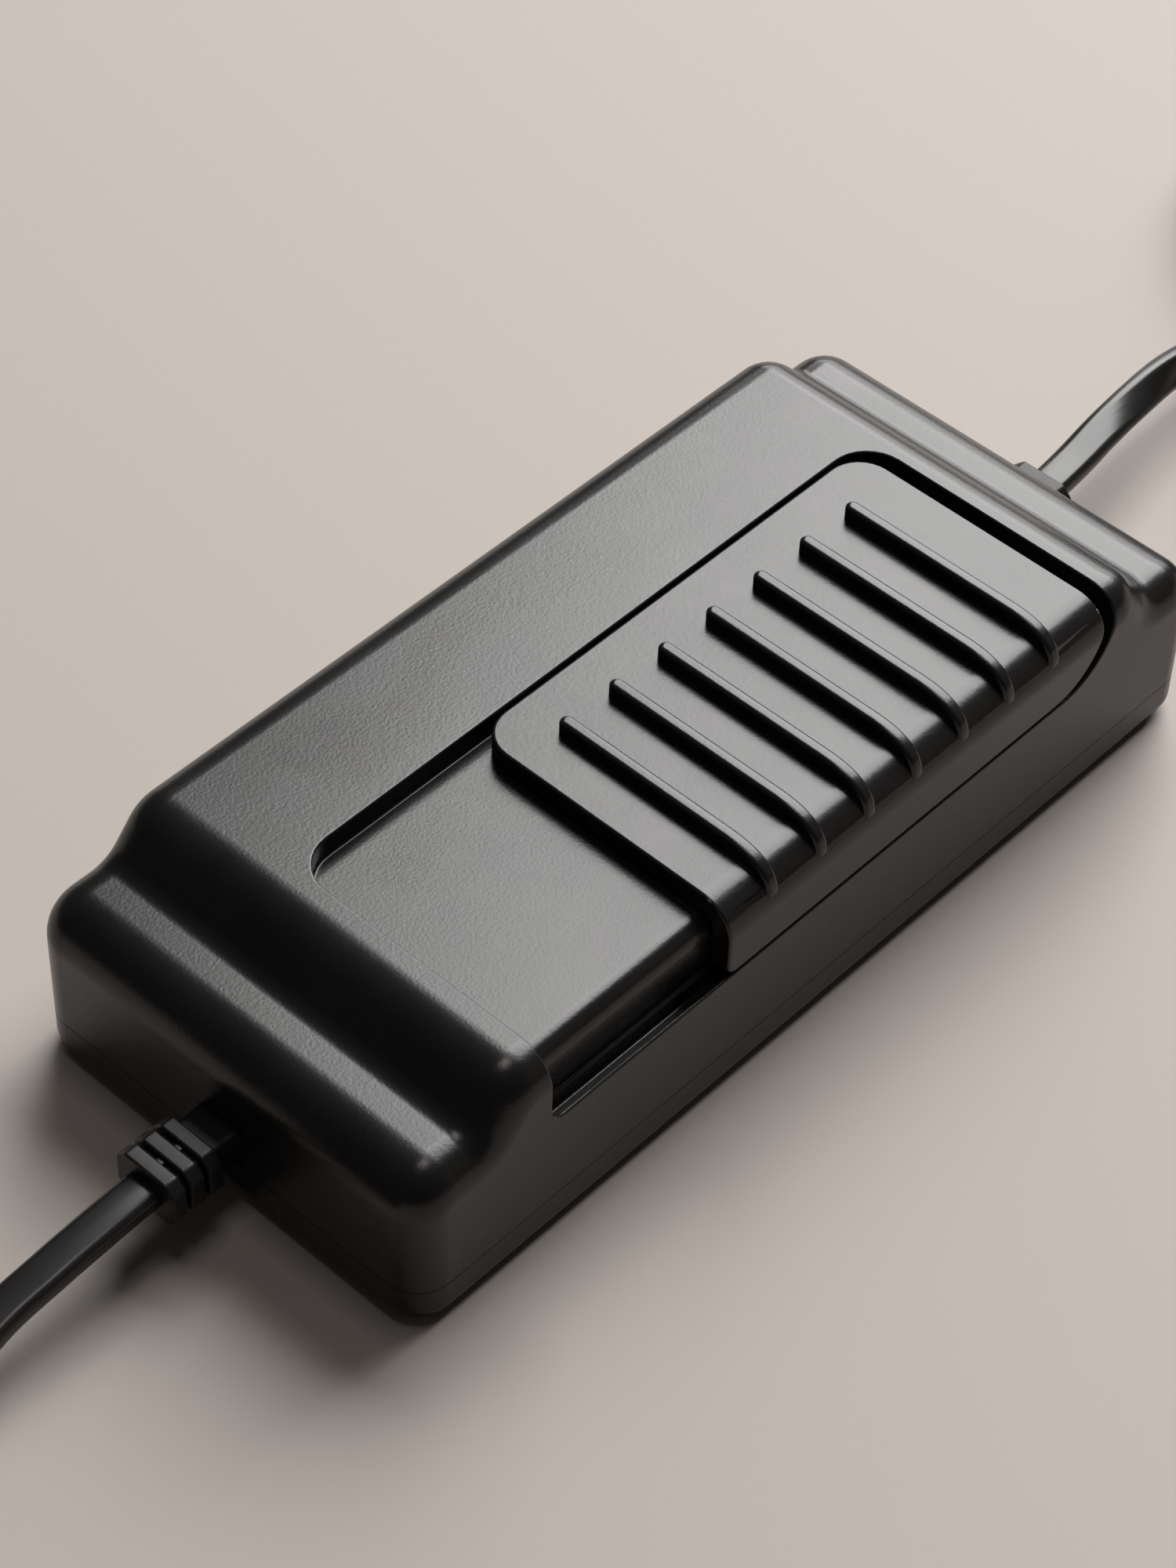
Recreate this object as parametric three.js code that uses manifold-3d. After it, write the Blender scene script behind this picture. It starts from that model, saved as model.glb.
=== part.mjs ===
// In-line foot slide dimmer: a low two-piece plastic housing, a ribbed slide pedal that runs in a
// recess along its top front edge, the dimmer circuit inside, and a flat twin flex out of each end.
// Millimetres, +Z up. X runs along the housing, the pedal is on the -Y side, Z = 0 is the floor.
import * as THREE from 'three';
import { mergeVertices } from 'three/addons/utils/BufferGeometryUtils.js';
import Module from 'manifold-3d';

const wasm = await Module();
wasm.setup();

// ---------- driving dimensions ----------
const GAP = 0.3;               // clearance between neighbouring pieces
const OVER = 1;                // how far a cutting tool runs past the face it cuts
const BODY = {
  length: 140, width: 63, top: 31.2, wall: 2.4, roof: 2.2, edge: 5, endEdge: 6.2,
  shelfDrop: 6.1, rampAngle: THREE.MathUtils.degToRad(49), nearCrest: 7, farCrest: 5.6, rampFoot: 3.5,
  nearShelf: 19.1, farShelf: 17.6,
};
const TRAY = { bottom: 0.8, part: 6.5, floor: 2.2, edge: 2.2, seam: 0.15, rim: 1.2, rimRise: 1.7 };
const RECESS = {
  nearMargin: 21.2, farMargin: 18.8, width: 41, depth: 3.1, ledge: 11, corner: 5.5,
  edge: 2.6, nearLow: 2, farLow: 9.5,
};
const GROOVE = { inset: 0.55, width: 2, depth: 2.2, endGap: 0.8 };
const PEDAL = {
  travelNear: 28.5, travelFar: 1.5, endGap: 0.55, sideGap: 0.5, thick: 2.9,
  corner: 5, lowNear: 1.5, lowFar: 9, tongue: 1.1, tongueDrop: 1.7,
};
const RIB = {
  count: 7, pitch: 8.55, first: 7.75, width: 1.9, height: 2.1, inner: 33.8, bend: 2.6, foot: 3.4, root: 1.6,
};
const BOSS = { length: 6, width: 13, slotGap: 0.5, inset: 20 };
const RETAINER = { length: 12, width: 20, thick: 1.6, screwAt: 4.4, shank: 0.9, head: 1.7 };
const LEVER = { width: 4, thick: 1.2 };
const BOARD = { endRoom: 20, sideRoom: 7.5, thick: 1.6, bottom: 8.6, pegX: 4, pegY: 4, peg: 1.2, post: 2.5 };
const POT = { length: 45, width: 9, height: 7, wall: 1.2, track: 1.2 };
const SCREW = {
  endRoom: 9.5, sideRoom: 9, shank: 1.4, head: 2.8, headHigh: 2, boss: 3.4, pillar: 4.2, reach: 10,
};
const FOOT = { endRoom: 22, sideRoom: 9.5, radius: 5, thick: 1.5 };
const CORD = { width: 5.2, thick: 2.9, axis: 10.2 };
const RELIEF = {
  width: 9.6, high: 7, plate: 2.1, pitch: 2.75, neck: 7.2, neckHigh: 5, start: 3.9, inner: 9.5,
};
const CLAMP = { endRoom: 14.5, length: 5, span: 15, thick: 2, post: 2.7, shank: 1, head: 2 };
const TERMINAL = { length: 9.5, width: 11, height: 9.5, pitch: 5, wire: 1.1 };
const COIL = { inner: 20.2, outer: 33.8, bottom: 1, high: 11.1, tie: 0.7, tieWide: 6 };

// ---------- values worked out from them ----------
const END = BODY.length / 2;
const FRONT = -BODY.width / 2;
const BACK = BODY.width / 2;
const SHELF = BODY.top - BODY.shelfDrop;
const RECESS_X0 = -END + RECESS.nearMargin;
const RECESS_X1 = END - RECESS.farMargin;
const RECESS_BACK = FRONT + RECESS.width;
const LEDGE_Z = BODY.top - RECESS.ledge;
const RECESS_FLOOR = BODY.top - RECESS.depth;
const RECESS_UNDER = RECESS_FLOOR - 2;
const PEDAL_X1 = RECESS_X1 - PEDAL.endGap - PEDAL.travelFar;
// The pedal's length is what its travel leaves of the recess.
const PEDAL_X0 = RECESS_X0 + PEDAL.endGap + PEDAL.travelNear;
const PEDAL_MID = (PEDAL_X0 + PEDAL_X1) / 2;
const PEDAL_UNDER = BODY.top - PEDAL.thick;
const SLOT_MID = PEDAL_MID + (PEDAL.travelFar - PEDAL.travelNear) / 2;
const TRAVEL = PEDAL.travelNear + PEDAL.travelFar;
const BOSS_Y = FRONT + BOSS.inset;
const BOSS_Z = RECESS_UNDER - GAP;
const RETAINER_TOP = BOSS_Z - GAP;
const BOARD_TOP = BOARD.bottom + BOARD.thick;
const ON_BOARD = BOARD_TOP + GAP;
const BOARD_END = END - BOARD.endRoom;
const BOARD_SIDE = BODY.width / 2 - BOARD.sideRoom;
const TRAY_INSIDE = TRAY.bottom + TRAY.floor;
const INSIDE_END = END - BODY.wall;
const INSIDE_BACK = BACK - BODY.wall;
const INSIDE_FRONT = FRONT + BODY.wall;
const RECESS_WALL = FRONT + RECESS.depth + 2.2;

// ---------- shape helpers ----------
function solid(shape) {
  if (!shape.isBufferGeometry) return shape;
  const bare = shape.clone();
  bare.deleteAttribute('normal');
  bare.deleteAttribute('uv');
  const merged = mergeVertices(bare, 1e-4);
  return new wasm.Manifold(new wasm.Mesh({
    numProp: 3,
    vertProperties: new Float32Array(merged.attributes.position.array),
    triVerts: new Uint32Array(merged.index.array),
  }));
}

const join = (first, ...more) => more.reduce((sum, piece) => sum.add(solid(piece)), solid(first));
const cut = (first, ...tools) => tools.reduce((sum, tool) => sum.subtract(solid(tool)), solid(first));
const common = (first, ...more) => more.reduce((sum, piece) => sum.intersect(solid(piece)), solid(first));

function box(x0, x1, y0, y1, z0, z1) {
  const shape = new THREE.BoxGeometry(x1 - x0, y1 - y0, z1 - z0);
  return shape.translate((x0 + x1) / 2, (y0 + y1) / 2, (z0 + z1) / 2);
}

// A box given by its middle in plan, its length and width, and its two heights.
function block(x, y, length, width, z0, z1) {
  return box(x - length / 2, x + length / 2, y - width / 2, y + width / 2, z0, z1);
}

function post(x, y, radius, z0, z1, sides = 14) {
  const shape = new THREE.CylinderGeometry(radius, radius, z1 - z0, sides);
  return shape.rotateX(Math.PI / 2).translate(x, y, (z0 + z1) / 2);
}

function rodX(x0, x1, y, z, radius, sides = 10) {
  const shape = new THREE.CylinderGeometry(radius, radius, x1 - x0, sides);
  return shape.rotateZ(Math.PI / 2).translate((x0 + x1) / 2, y, z);
}

// The outline as points, leaving out any that fall on the one before.
function clean(shape, curveSegments = 12) {
  const points = shape.getPoints(curveSegments);
  const before = (i) => points[(i + points.length - 1) % points.length];
  const apart = points.filter((p, i) => p.distanceTo(before(i)) > 1e-3);
  return new THREE.Shape(apart);
}

// A shape drawn in X and Z, pushed along Y from y0 to y1.
function alongY(shape, y0, y1, options = {}) {
  const outline = clean(shape, options.curveSegments);
  const form = new THREE.ExtrudeGeometry(outline, { depth: y1 - y0, bevelEnabled: false, ...options });
  return form.rotateX(Math.PI / 2).translate(0, y1, 0);
}

// A shape drawn in Y and Z, pushed along X from x0 to x1.
function alongX(shape, x0, x1, options = {}) {
  const outline = clean(shape, options.curveSegments);
  const form = new THREE.ExtrudeGeometry(outline, { depth: x1 - x0, bevelEnabled: false, ...options });
  const turn = new THREE.Matrix4().makeBasis(
    new THREE.Vector3(0, 1, 0), new THREE.Vector3(0, 0, 1), new THREE.Vector3(1, 0, 0));
  return form.applyMatrix4(turn).translate(x0, 0, 0);
}

// A shape drawn in X and Y, pushed up from z0 to z1.
function alongZ(shape, z0, z1, options = {}) {
  const outline = clean(shape, options.curveSegments);
  const form = new THREE.ExtrudeGeometry(outline, { depth: z1 - z0, bevelEnabled: false, ...options });
  return form.translate(0, 0, z0);
}

// A rectangle whose four corners have their own radii, from the low left one anticlockwise.
function roundedBox(u0, u1, v0, v1, [lowLeft, lowRight, highRight, highLeft]) {
  const shape = new THREE.Shape();
  const turn = Math.PI / 2;
  shape.absarc(u0 + lowLeft, v0 + lowLeft, lowLeft, 2 * turn, 3 * turn, false);
  shape.absarc(u1 - lowRight, v0 + lowRight, lowRight, 3 * turn, 4 * turn, false);
  shape.absarc(u1 - highRight, v1 - highRight, highRight, 0, turn, false);
  shape.absarc(u0 + highLeft, v1 - highLeft, highLeft, turn, 2 * turn, false);
  shape.closePath();
  return shape;
}

const evenBox = (u0, u1, v0, v1, radius) => roundedBox(u0, u1, v0, v1, [radius, radius, radius, radius]);

// ---------- housing ----------
// The side outline: end face, low shelf, S-shaped ramp, raised middle, and the same down again.
function sideOutline(bottom) {
  const { rampAngle: a, rampFoot, endEdge } = BODY;
  // How far a ramp's foot starts from its crest, along X.
  const rampRun = (crest) => (crest + rampFoot) * Math.sin(a)
    + (BODY.shelfDrop - (crest + rampFoot) * (1 - Math.cos(a))) / Math.tan(a);
  const nearX = -END + BODY.nearShelf;
  const farX = END - BODY.farShelf;
  const nearFoot = nearX - rampRun(BODY.nearCrest);
  const farFoot = farX + rampRun(BODY.farCrest);
  const up = Math.PI / 2;
  const shape = new THREE.Shape();
  shape.moveTo(-END, bottom);
  shape.lineTo(-END, SHELF - endEdge);
  shape.absarc(-END + endEdge, SHELF - endEdge, endEdge, Math.PI, up, true);
  shape.absarc(nearFoot, SHELF + rampFoot, rampFoot, -up, a - up, false);
  shape.absarc(nearX, BODY.top - BODY.nearCrest, BODY.nearCrest, up + a, up, true);
  shape.absarc(farX, BODY.top - BODY.farCrest, BODY.farCrest, up, up - a, true);
  shape.absarc(farFoot, SHELF + rampFoot, rampFoot, Math.PI + up - a, Math.PI + up, false);
  shape.absarc(END - endEdge, SHELF - endEdge, endEdge, up, 0, true);
  shape.lineTo(END, bottom);
  return shape;
}

function roundedHull() {
  const bevel = {
    bevelEnabled: true, bevelThickness: BODY.edge, bevelSize: BODY.edge,
    bevelOffset: -BODY.edge, bevelSegments: 5, curveSegments: 3,
  };
  const hull = alongY(sideOutline(-2 * BODY.edge), FRONT + BODY.edge, BACK - BODY.edge, bevel);
  const coverLow = TRAY.part + TRAY.seam;
  return cut(hull, box(-END - OVER, END + OVER, FRONT - OVER, BACK + OVER, -3 * BODY.edge, coverLow));
}

// The space of the recess: over the top and round the front edge, down to the ledge.
function recessTool() {
  const inset = RECESS.depth;
  const section = new THREE.Shape();
  section.moveTo(RECESS_BACK, BODY.top + OVER);
  section.lineTo(RECESS_BACK, RECESS_FLOOR);
  const { edge } = RECESS;
  section.absarc(FRONT + inset + edge, RECESS_FLOOR - edge, edge, Math.PI / 2, Math.PI, false);
  section.lineTo(FRONT + inset, LEDGE_Z);
  section.lineTo(FRONT - OVER, LEDGE_Z);
  section.lineTo(FRONT - OVER, BODY.top + OVER);
  const wrap = alongX(section, RECESS_X0, RECESS_X1, { curveSegments: 2 });
  const { corner, nearLow, farLow } = RECESS;
  const plan = roundedBox(RECESS_X0, RECESS_X1, FRONT - 2 * corner, RECESS_BACK, [1, 1, corner, corner]);
  const side = roundedBox(RECESS_X0, RECESS_X1, LEDGE_Z, BODY.top + 2, [nearLow, farLow, 1, 1]);
  return common(wrap, alongZ(plan, LEDGE_Z - OVER, BODY.top + 2, { curveSegments: 3 }),
    alongY(side, FRONT - 2, RECESS_BACK + OVER, { curveSegments: 3 }));
}

function coverHollow() {
  const nearIn = -END + BODY.nearShelf + 1;
  const farIn = END - BODY.farShelf - 1;
  const shelfIn = INSIDE_END - BODY.endEdge / 4;
  return join(
    box(-INSIDE_END, INSIDE_END, INSIDE_FRONT, INSIDE_BACK, TRAY.part - OVER, LEDGE_Z - 4.2),
    box(-shelfIn, shelfIn, RECESS_WALL, INSIDE_BACK, TRAY.part, SHELF - BODY.roof),
    box(nearIn, farIn, RECESS_WALL, INSIDE_BACK, TRAY.part, RECESS_UNDER),
    box(nearIn, farIn, RECESS_BACK + BODY.wall, INSIDE_BACK, TRAY.part, BODY.top - BODY.roof));
}

const screwPlaces = [[-1, -1], [1, -1], [1, 1], [-1, 1]].map(([sx, sy]) =>
  [sx * (END - SCREW.endRoom), sy * (BODY.width / 2 - SCREW.sideRoom)]);

function topCover() {
  const slot = block(SLOT_MID, BOSS_Y, TRAVEL + BOSS.length + 2 * BOSS.slotGap,
    BOSS.width + 2 * BOSS.slotGap, RECESS_UNDER - OVER, RECESS_FLOOR + OVER);
  const grooveY = FRONT + GROOVE.inset;
  const groove = box(RECESS_X0 + GROOVE.endGap, RECESS_X1 - RECESS.farLow - GROOVE.endGap,
    grooveY, grooveY + GROOVE.width, LEDGE_Z - GROOVE.depth, LEDGE_Z + OVER);
  const mouthHigh = CORD.axis + RELIEF.neckHigh / 2 + GAP;
  const mouthHalf = RELIEF.neck / 2 + GAP;
  const mouths = [-1, 1].map((end) =>
    block(end * END, 0, 4 * BODY.wall, 2 * mouthHalf, TRAY.part - OVER, mouthHigh));
  const shell = cut(roundedHull(), recessTool(), coverHollow(), slot, groove, ...mouths);
  const bossLow = BOARD.bottom + 0.7;
  const bosses = screwPlaces.map(([x, y]) => post(x, y, SCREW.boss, bossLow, SHELF - BODY.roof + OVER));
  const pilots = screwPlaces.map(([x, y]) =>
    post(x, y, SCREW.shank + GAP, bossLow - OVER, bossLow + SCREW.reach, 10));
  return cut(join(shell, ...bosses), ...pilots);
}

function baseTray() {
  const outline = evenBox(-END, END, FRONT, BACK, BODY.edge);
  const bevel = {
    bevelEnabled: true, bevelThickness: TRAY.edge, bevelSize: TRAY.edge,
    bevelOffset: -TRAY.edge, bevelSegments: 3, curveSegments: 3,
  };
  const topZ = TRAY.part - TRAY.seam;
  const slab = alongZ(outline, TRAY.bottom + TRAY.edge, topZ + TRAY.edge, bevel);
  const above = box(-END - OVER, END + OVER, FRONT - OVER, BACK + OVER, topZ, 4 * TRAY.part);
  const inset = BODY.wall + GAP;
  const ring = (in1, z0, z1) => alongZ(
    evenBox(-END + in1, END - in1, FRONT + in1, BACK - in1, 2), z0, z1, { curveSegments: 2 });
  const rimTop = topZ + TRAY.rimRise;
  const rim = cut(ring(inset, TRAY_INSIDE, rimTop), ring(inset + TRAY.rim, TRAY_INSIDE - OVER, rimTop + OVER),
    box(-END, END, -RELIEF.width / 2 - OVER, RELIEF.width / 2 + OVER, topZ - 0.4, rimTop + OVER));
  const pocket = ring(inset, TRAY_INSIDE, topZ + OVER);
  const shell = join(cut(slab, above, pocket), rim);
  const pillars = screwPlaces.map(([x, y]) => post(x, y, SCREW.pillar, TRAY_INSIDE - OVER, BOARD.bottom));
  const heads = screwPlaces.map(([x, y]) =>
    post(x, y, SCREW.head + GAP, TRAY.bottom - OVER, TRAY_INSIDE + 2.2));
  const shanks = screwPlaces.map(([x, y]) =>
    post(x, y, SCREW.shank + GAP, TRAY.bottom, BOARD.bottom + OVER, 10));
  const pegs = boardPegs.flatMap(([x, y]) => [
    post(x, y, BOARD.post, TRAY_INSIDE - OVER, BOARD.bottom - GAP, 10),
    post(x, y, BOARD.peg, TRAY_INSIDE, BOARD_TOP + 1, 8)]);
  const clampPosts = clampPlaces.map(([x, y]) =>
    post(x, y, CLAMP.post, TRAY_INSIDE - OVER, CLAMP_LOW - GAP, 10));
  const clampHoles = clampPlaces.map(([x, y]) =>
    post(x, y, CLAMP.shank + GAP, TRAY_INSIDE + 2, CLAMP_LOW, 8));
  const padTop = TRAY.bottom + FOOT.thick - 0.5;
  const pads = footPlaces.map(([x, y]) => post(x, y, FOOT.radius + GAP, 0, padTop, 16));
  // Below each cord's mouth the tray's wall rises to meet the strain relief.
  const sillWidth = RELIEF.neck - 2 * GAP;
  const sillTop = CORD.axis - RELIEF.neckHigh / 2 - GAP;
  const sills = [-1, 1].map((end) =>
    block(end * (END - BODY.wall / 2), 0, BODY.wall, sillWidth, topZ - 1, sillTop));
  const body = join(shell, ...pillars, ...pegs, ...clampPosts, ...sills);
  return cut(body, ...heads, ...shanks, ...clampHoles, ...pads);
}

const boardPegs = [[-1, -1], [1, -1], [1, 1], [-1, 1]].map(([sx, sy]) =>
  [sx * (BOARD_END - BOARD.pegX), sy * (BOARD_SIDE - BOARD.pegY)]);
const CLAMP_LOW = CORD.axis + CORD.thick / 2 + GAP;
const clampPlaces = [-1, 1].flatMap((end) =>
  [-1, 1].map((side) => [end * (END - CLAMP.endRoom), side * CLAMP.span / 2]));
const footPlaces = [[-1, -1], [1, -1], [1, 1], [-1, 1]].map(([sx, sy]) =>
  [sx * (END - FOOT.endRoom), sy * (BODY.width / 2 - FOOT.sideRoom)]);

// A pan-head screw that stands on its head (up = 1) or hangs from it (up = -1).
function screw(x, y, headZ, headHigh, headRadius, shankRadius, tipZ) {
  const up = Math.sign(tipZ - headZ);
  const z0 = Math.min(headZ, headZ - up * headHigh);
  const head = post(x, y, headRadius, z0, z0 + headHigh, 12);
  const neckZ = headZ - up * 0.2;
  const shank = post(x, y, shankRadius, Math.min(neckZ, tipZ), Math.max(neckZ, tipZ), 8);
  const faceZ = headZ - up * headHigh;
  const slotDepth = headHigh / 2;
  const slot = block(x, y, 2.4 * headRadius, headRadius / 3, faceZ - slotDepth, faceZ + slotDepth);
  return cut(join(head, shank), slot);
}

// ---------- slide pedal ----------
function pedalPlate() {
  const { thick } = PEDAL;
  const back = RECESS_BACK - PEDAL.sideGap;
  const low = LEDGE_Z + 0.25;
  const centre = [FRONT + BODY.edge, BODY.top - BODY.edge];
  const section = new THREE.Shape();
  section.moveTo(back, PEDAL_UNDER);
  section.lineTo(back, BODY.top);
  section.absarc(...centre, BODY.edge, Math.PI / 2, Math.PI, false);
  section.lineTo(FRONT, low);
  section.lineTo(FRONT + thick, low);
  section.absarc(...centre, BODY.edge - thick, Math.PI, Math.PI / 2, true);
  const wrap = alongX(section, PEDAL_X0, PEDAL_X1, { curveSegments: 3 });
  const { corner, lowNear, lowFar } = PEDAL;
  const plan = roundedBox(PEDAL_X0, PEDAL_X1, FRONT - 2 * corner, back, [1, 1, corner, corner]);
  const side = roundedBox(PEDAL_X0, PEDAL_X1, low, BODY.top + 2, [lowNear, lowFar, 1, 1]);
  return common(wrap, alongZ(plan, LEDGE_Z - OVER, BODY.top + 1, { curveSegments: 3 }),
    alongY(side, FRONT - 2, back + OVER, { curveSegments: 3 }));
}

function rib(x) {
  const inner = FRONT + RIB.inner;
  const crest = BODY.top + RIB.height;
  const section = new THREE.Shape();
  section.moveTo(inner, BODY.top - 1);
  section.lineTo(inner, crest);
  section.lineTo(FRONT + BODY.edge + RIB.bend, crest);
  section.quadraticCurveTo(FRONT + 0.2, crest - 0.2, FRONT + 0.3, BODY.top - RIB.foot);
  section.lineTo(FRONT + RIB.root, BODY.top - RIB.foot);
  section.lineTo(FRONT + BODY.edge, BODY.top - 1);
  const half = RIB.width / 2;
  const plan = roundedBox(x - half, x + half, FRONT - OVER, inner, [0.1, 0.1, half - 0.01, half - 0.01]);
  return common(alongX(section, x - half, x + half, { curveSegments: 5 }),
    alongZ(plan, LEDGE_Z, crest + OVER, { curveSegments: 2 }));
}

function slidePedal() {
  const ribs = Array.from({ length: RIB.count }, (_, i) => rib(PEDAL_X0 + RIB.first + i * RIB.pitch));
  const boss = block(PEDAL_MID, BOSS_Y, BOSS.length, BOSS.width, BOSS_Z, PEDAL_UNDER + 0.5);
  const tongueY = FRONT + GROOVE.inset + (GROOVE.width - PEDAL.tongue) / 2;
  const tongue = box(PEDAL_X0 + 1.2, PEDAL_X1 - PEDAL.lowFar - 4, tongueY, tongueY + PEDAL.tongue,
    LEDGE_Z - PEDAL.tongueDrop, LEDGE_Z + 1);
  const socket = block(PEDAL_MID, BOSS_Y, LEVER.width + 2 * GAP, LEVER.thick + 2 * GAP,
    BOSS_Z - OVER, BODY.top - 1.4);
  const pilots = [-1, 1].map((side) =>
    post(PEDAL_MID, BOSS_Y + side * RETAINER.screwAt, RETAINER.shank + GAP,
      BOSS_Z - OVER, PEDAL_UNDER + 1, 8));
  return cut(join(pedalPlate(), boss, tongue, ...ribs), socket, ...pilots);
}

function slideRetainer() {
  const plate = block(PEDAL_MID, BOSS_Y, RETAINER.length, RETAINER.width,
    RETAINER_TOP - RETAINER.thick, RETAINER_TOP);
  const slot = block(PEDAL_MID, BOSS_Y, LEVER.width + 2 * GAP, LEVER.thick + 2 * GAP,
    RETAINER_TOP - 2 * RETAINER.thick, RETAINER_TOP + OVER);
  const holes = [-1, 1].map((side) => post(PEDAL_MID, BOSS_Y + side * RETAINER.screwAt,
    RETAINER.shank + GAP, RETAINER_TOP - 2 * RETAINER.thick, RETAINER_TOP + OVER, 8));
  return cut(plate, slot, ...holes);
}

function potLever() {
  const wiperZ = ON_BOARD + POT.track + 2 * GAP;
  const stem = block(PEDAL_MID, BOSS_Y, LEVER.width, LEVER.thick, wiperZ + 1, BODY.top - 1.4 - GAP);
  const wiper = block(PEDAL_MID, BOSS_Y, LEVER.width + 2, POT.width - 2 * POT.wall - 1, wiperZ, wiperZ + 3);
  return join(wiper, stem);
}

function potHousing() {
  const top = ON_BOARD + POT.height;
  const outer = block(SLOT_MID, BOSS_Y, POT.length, POT.width, ON_BOARD, top);
  const room = block(SLOT_MID, BOSS_Y, POT.length - 2 * POT.wall, POT.width - 2 * POT.wall,
    ON_BOARD - OVER, top - POT.wall);
  const slot = block(SLOT_MID, BOSS_Y, TRAVEL + LEVER.width + 2, LEVER.thick + 2 * GAP,
    top - 2 * POT.wall, top + OVER);
  return cut(outer, room, slot);
}

function potTrack() {
  const room = 2 * POT.wall + 2 * GAP;
  return block(SLOT_MID, BOSS_Y, POT.length - room, POT.width - room, ON_BOARD, ON_BOARD + POT.track);
}

// ---------- circuit ----------
function circuitBoard() {
  const plate = box(-BOARD_END, BOARD_END, -BOARD_SIDE, BOARD_SIDE, BOARD.bottom, BOARD_TOP);
  const holes = boardPegs.map(([x, y]) =>
    post(x, y, BOARD.peg + GAP, BOARD.bottom - OVER, BOARD_TOP + OVER, 8));
  return cut(plate, ...holes);
}

const SINK = { x: 2, length: 34, thick: 1.8, foot: 7, high: 14, fromBack: 10, fin: 1.6, fins: 4 };
const SINK_Y = BACK - SINK.fromBack;

function heatSink() {
  const wall = block(SINK.x, SINK_Y, SINK.length, SINK.thick, ON_BOARD, ON_BOARD + SINK.high);
  const step = (SINK.length - SINK.fin) / (SINK.fins - 1);
  const fins = Array.from({ length: SINK.fins }, (_, i) => {
    const x = SINK.x - SINK.length / 2 + SINK.fin / 2 + i * step;
    return box(x - SINK.fin / 2, x + SINK.fin / 2, SINK_Y, SINK_Y + SINK.foot,
      ON_BOARD + 2, ON_BOARD + SINK.high);
  });
  const hole = rodY(SINK.x - 6, SINK_Y - 4, SINK_Y + 4, TAB_HOLE_Z, 1.7);
  return cut(join(wall, ...fins), hole);
}

const TRIAC = { width: 10, body: 9, tab: 6, thick: 4.4, tabThick: 1.3, legs: 2, leg: 0.9 };
const TAB_HOLE_Z = ON_BOARD + 11.8;

function rodY(x, y0, y1, z, radius, sides = 10) {
  return new THREE.CylinderGeometry(radius, radius, y1 - y0, sides).translate(x, (y0 + y1) / 2, z);
}

function triac() {
  const x = SINK.x - 6;
  const backY = SINK_Y - SINK.thick / 2 - GAP;
  const bodyZ = ON_BOARD + TRIAC.legs - 1.2;
  const tabZ = bodyZ + TRIAC.body - 1;
  const body = box(x - TRIAC.width / 2, x + TRIAC.width / 2, backY - TRIAC.thick, backY, bodyZ, tabZ);
  const tab = box(x - TRIAC.width / 2, x + TRIAC.width / 2, backY - TRIAC.tabThick, backY,
    tabZ - 1, tabZ + TRIAC.tab);
  const legs = [-2.5, 0, 2.5].map((dx) =>
    block(x + dx, backY - TRIAC.thick / 2, TRIAC.leg, 0.6, ON_BOARD - 0.1, bodyZ + 0.5));
  const hole = rodY(x, backY - 2 * TRIAC.tabThick, backY + OVER, TAB_HOLE_Z, 1.7);
  return cut(join(body, tab, ...legs), hole);
}

function sinkScrew() {
  const x = SINK.x - 6;
  const face = SINK_Y - SINK.thick / 2 - TRIAC.tabThick - 2 * GAP;
  const head = rodY(x, face - 1.8, face, TAB_HOLE_Z, 2.6, 12);
  const shank = rodY(x, face - 0.5, SINK_Y + SINK.thick / 2 + 2, TAB_HOLE_Z, 1.3, 8);
  return join(head, shank);
}

const CHOKE = { fromEnd: 17, y: 12.5, ring: 6, tube: 3.2 };

function choke() {
  const turn = Array.from({ length: 8 }, (_, i) => {
    const a = (i + 0.5) * Math.PI / 4;
    return new THREE.Vector2(CHOKE.ring + CHOKE.tube * Math.cos(a), CHOKE.tube * Math.sin(a));
  });
  const ring = new THREE.LatheGeometry([...turn, turn[0]], 14).rotateX(Math.PI / 2);
  return solid(ring.translate(BOARD_END - CHOKE.fromEnd, CHOKE.y, ON_BOARD + CHOKE.tube));
}

function capacitor(x, y, length, width, high) {
  const shape = evenBox(x - length / 2, x + length / 2, y - width / 2, y + width / 2, 0.9);
  return solid(alongZ(shape, ON_BOARD, ON_BOARD + high, { curveSegments: 1 }));
}

// A small axial part: a body with two bent legs down to the board.
function axial(x, y, length, radius, legSpan) {
  const z = ON_BOARD + radius + 0.2;
  const wire = 0.35;
  const body = rodX(x - length / 2, x + length / 2, y, z, radius, 10);
  const lead = rodX(x - legSpan / 2, x + legSpan / 2, y, z, wire, 6);
  const legs = [-1, 1].map((end) => post(x + end * (legSpan / 2 - wire), y, wire, ON_BOARD, z, 6));
  return join(body, lead, ...legs);
}

const FUSE = { x: -31, fromFront: 12.5, length: 20, radius: 2.5, clip: 4, clipWall: 0.7, z: 4.2 };
const FUSE_Y = FRONT + FUSE.fromFront;

function fuse() {
  const z = ON_BOARD + FUSE.z;
  const reach = FUSE.length / 2 - 1;
  const glass = rodX(FUSE.x - reach, FUSE.x + reach, FUSE_Y, z, FUSE.radius - 0.25, 12);
  const caps = [-1, 1].map((end) => {
    const x = FUSE.x + end * (FUSE.length / 2 - 2.75);
    return rodX(x - 2.75, x + 2.75, FUSE_Y, z, FUSE.radius, 12);
  });
  return join(glass, ...caps);
}

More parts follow.
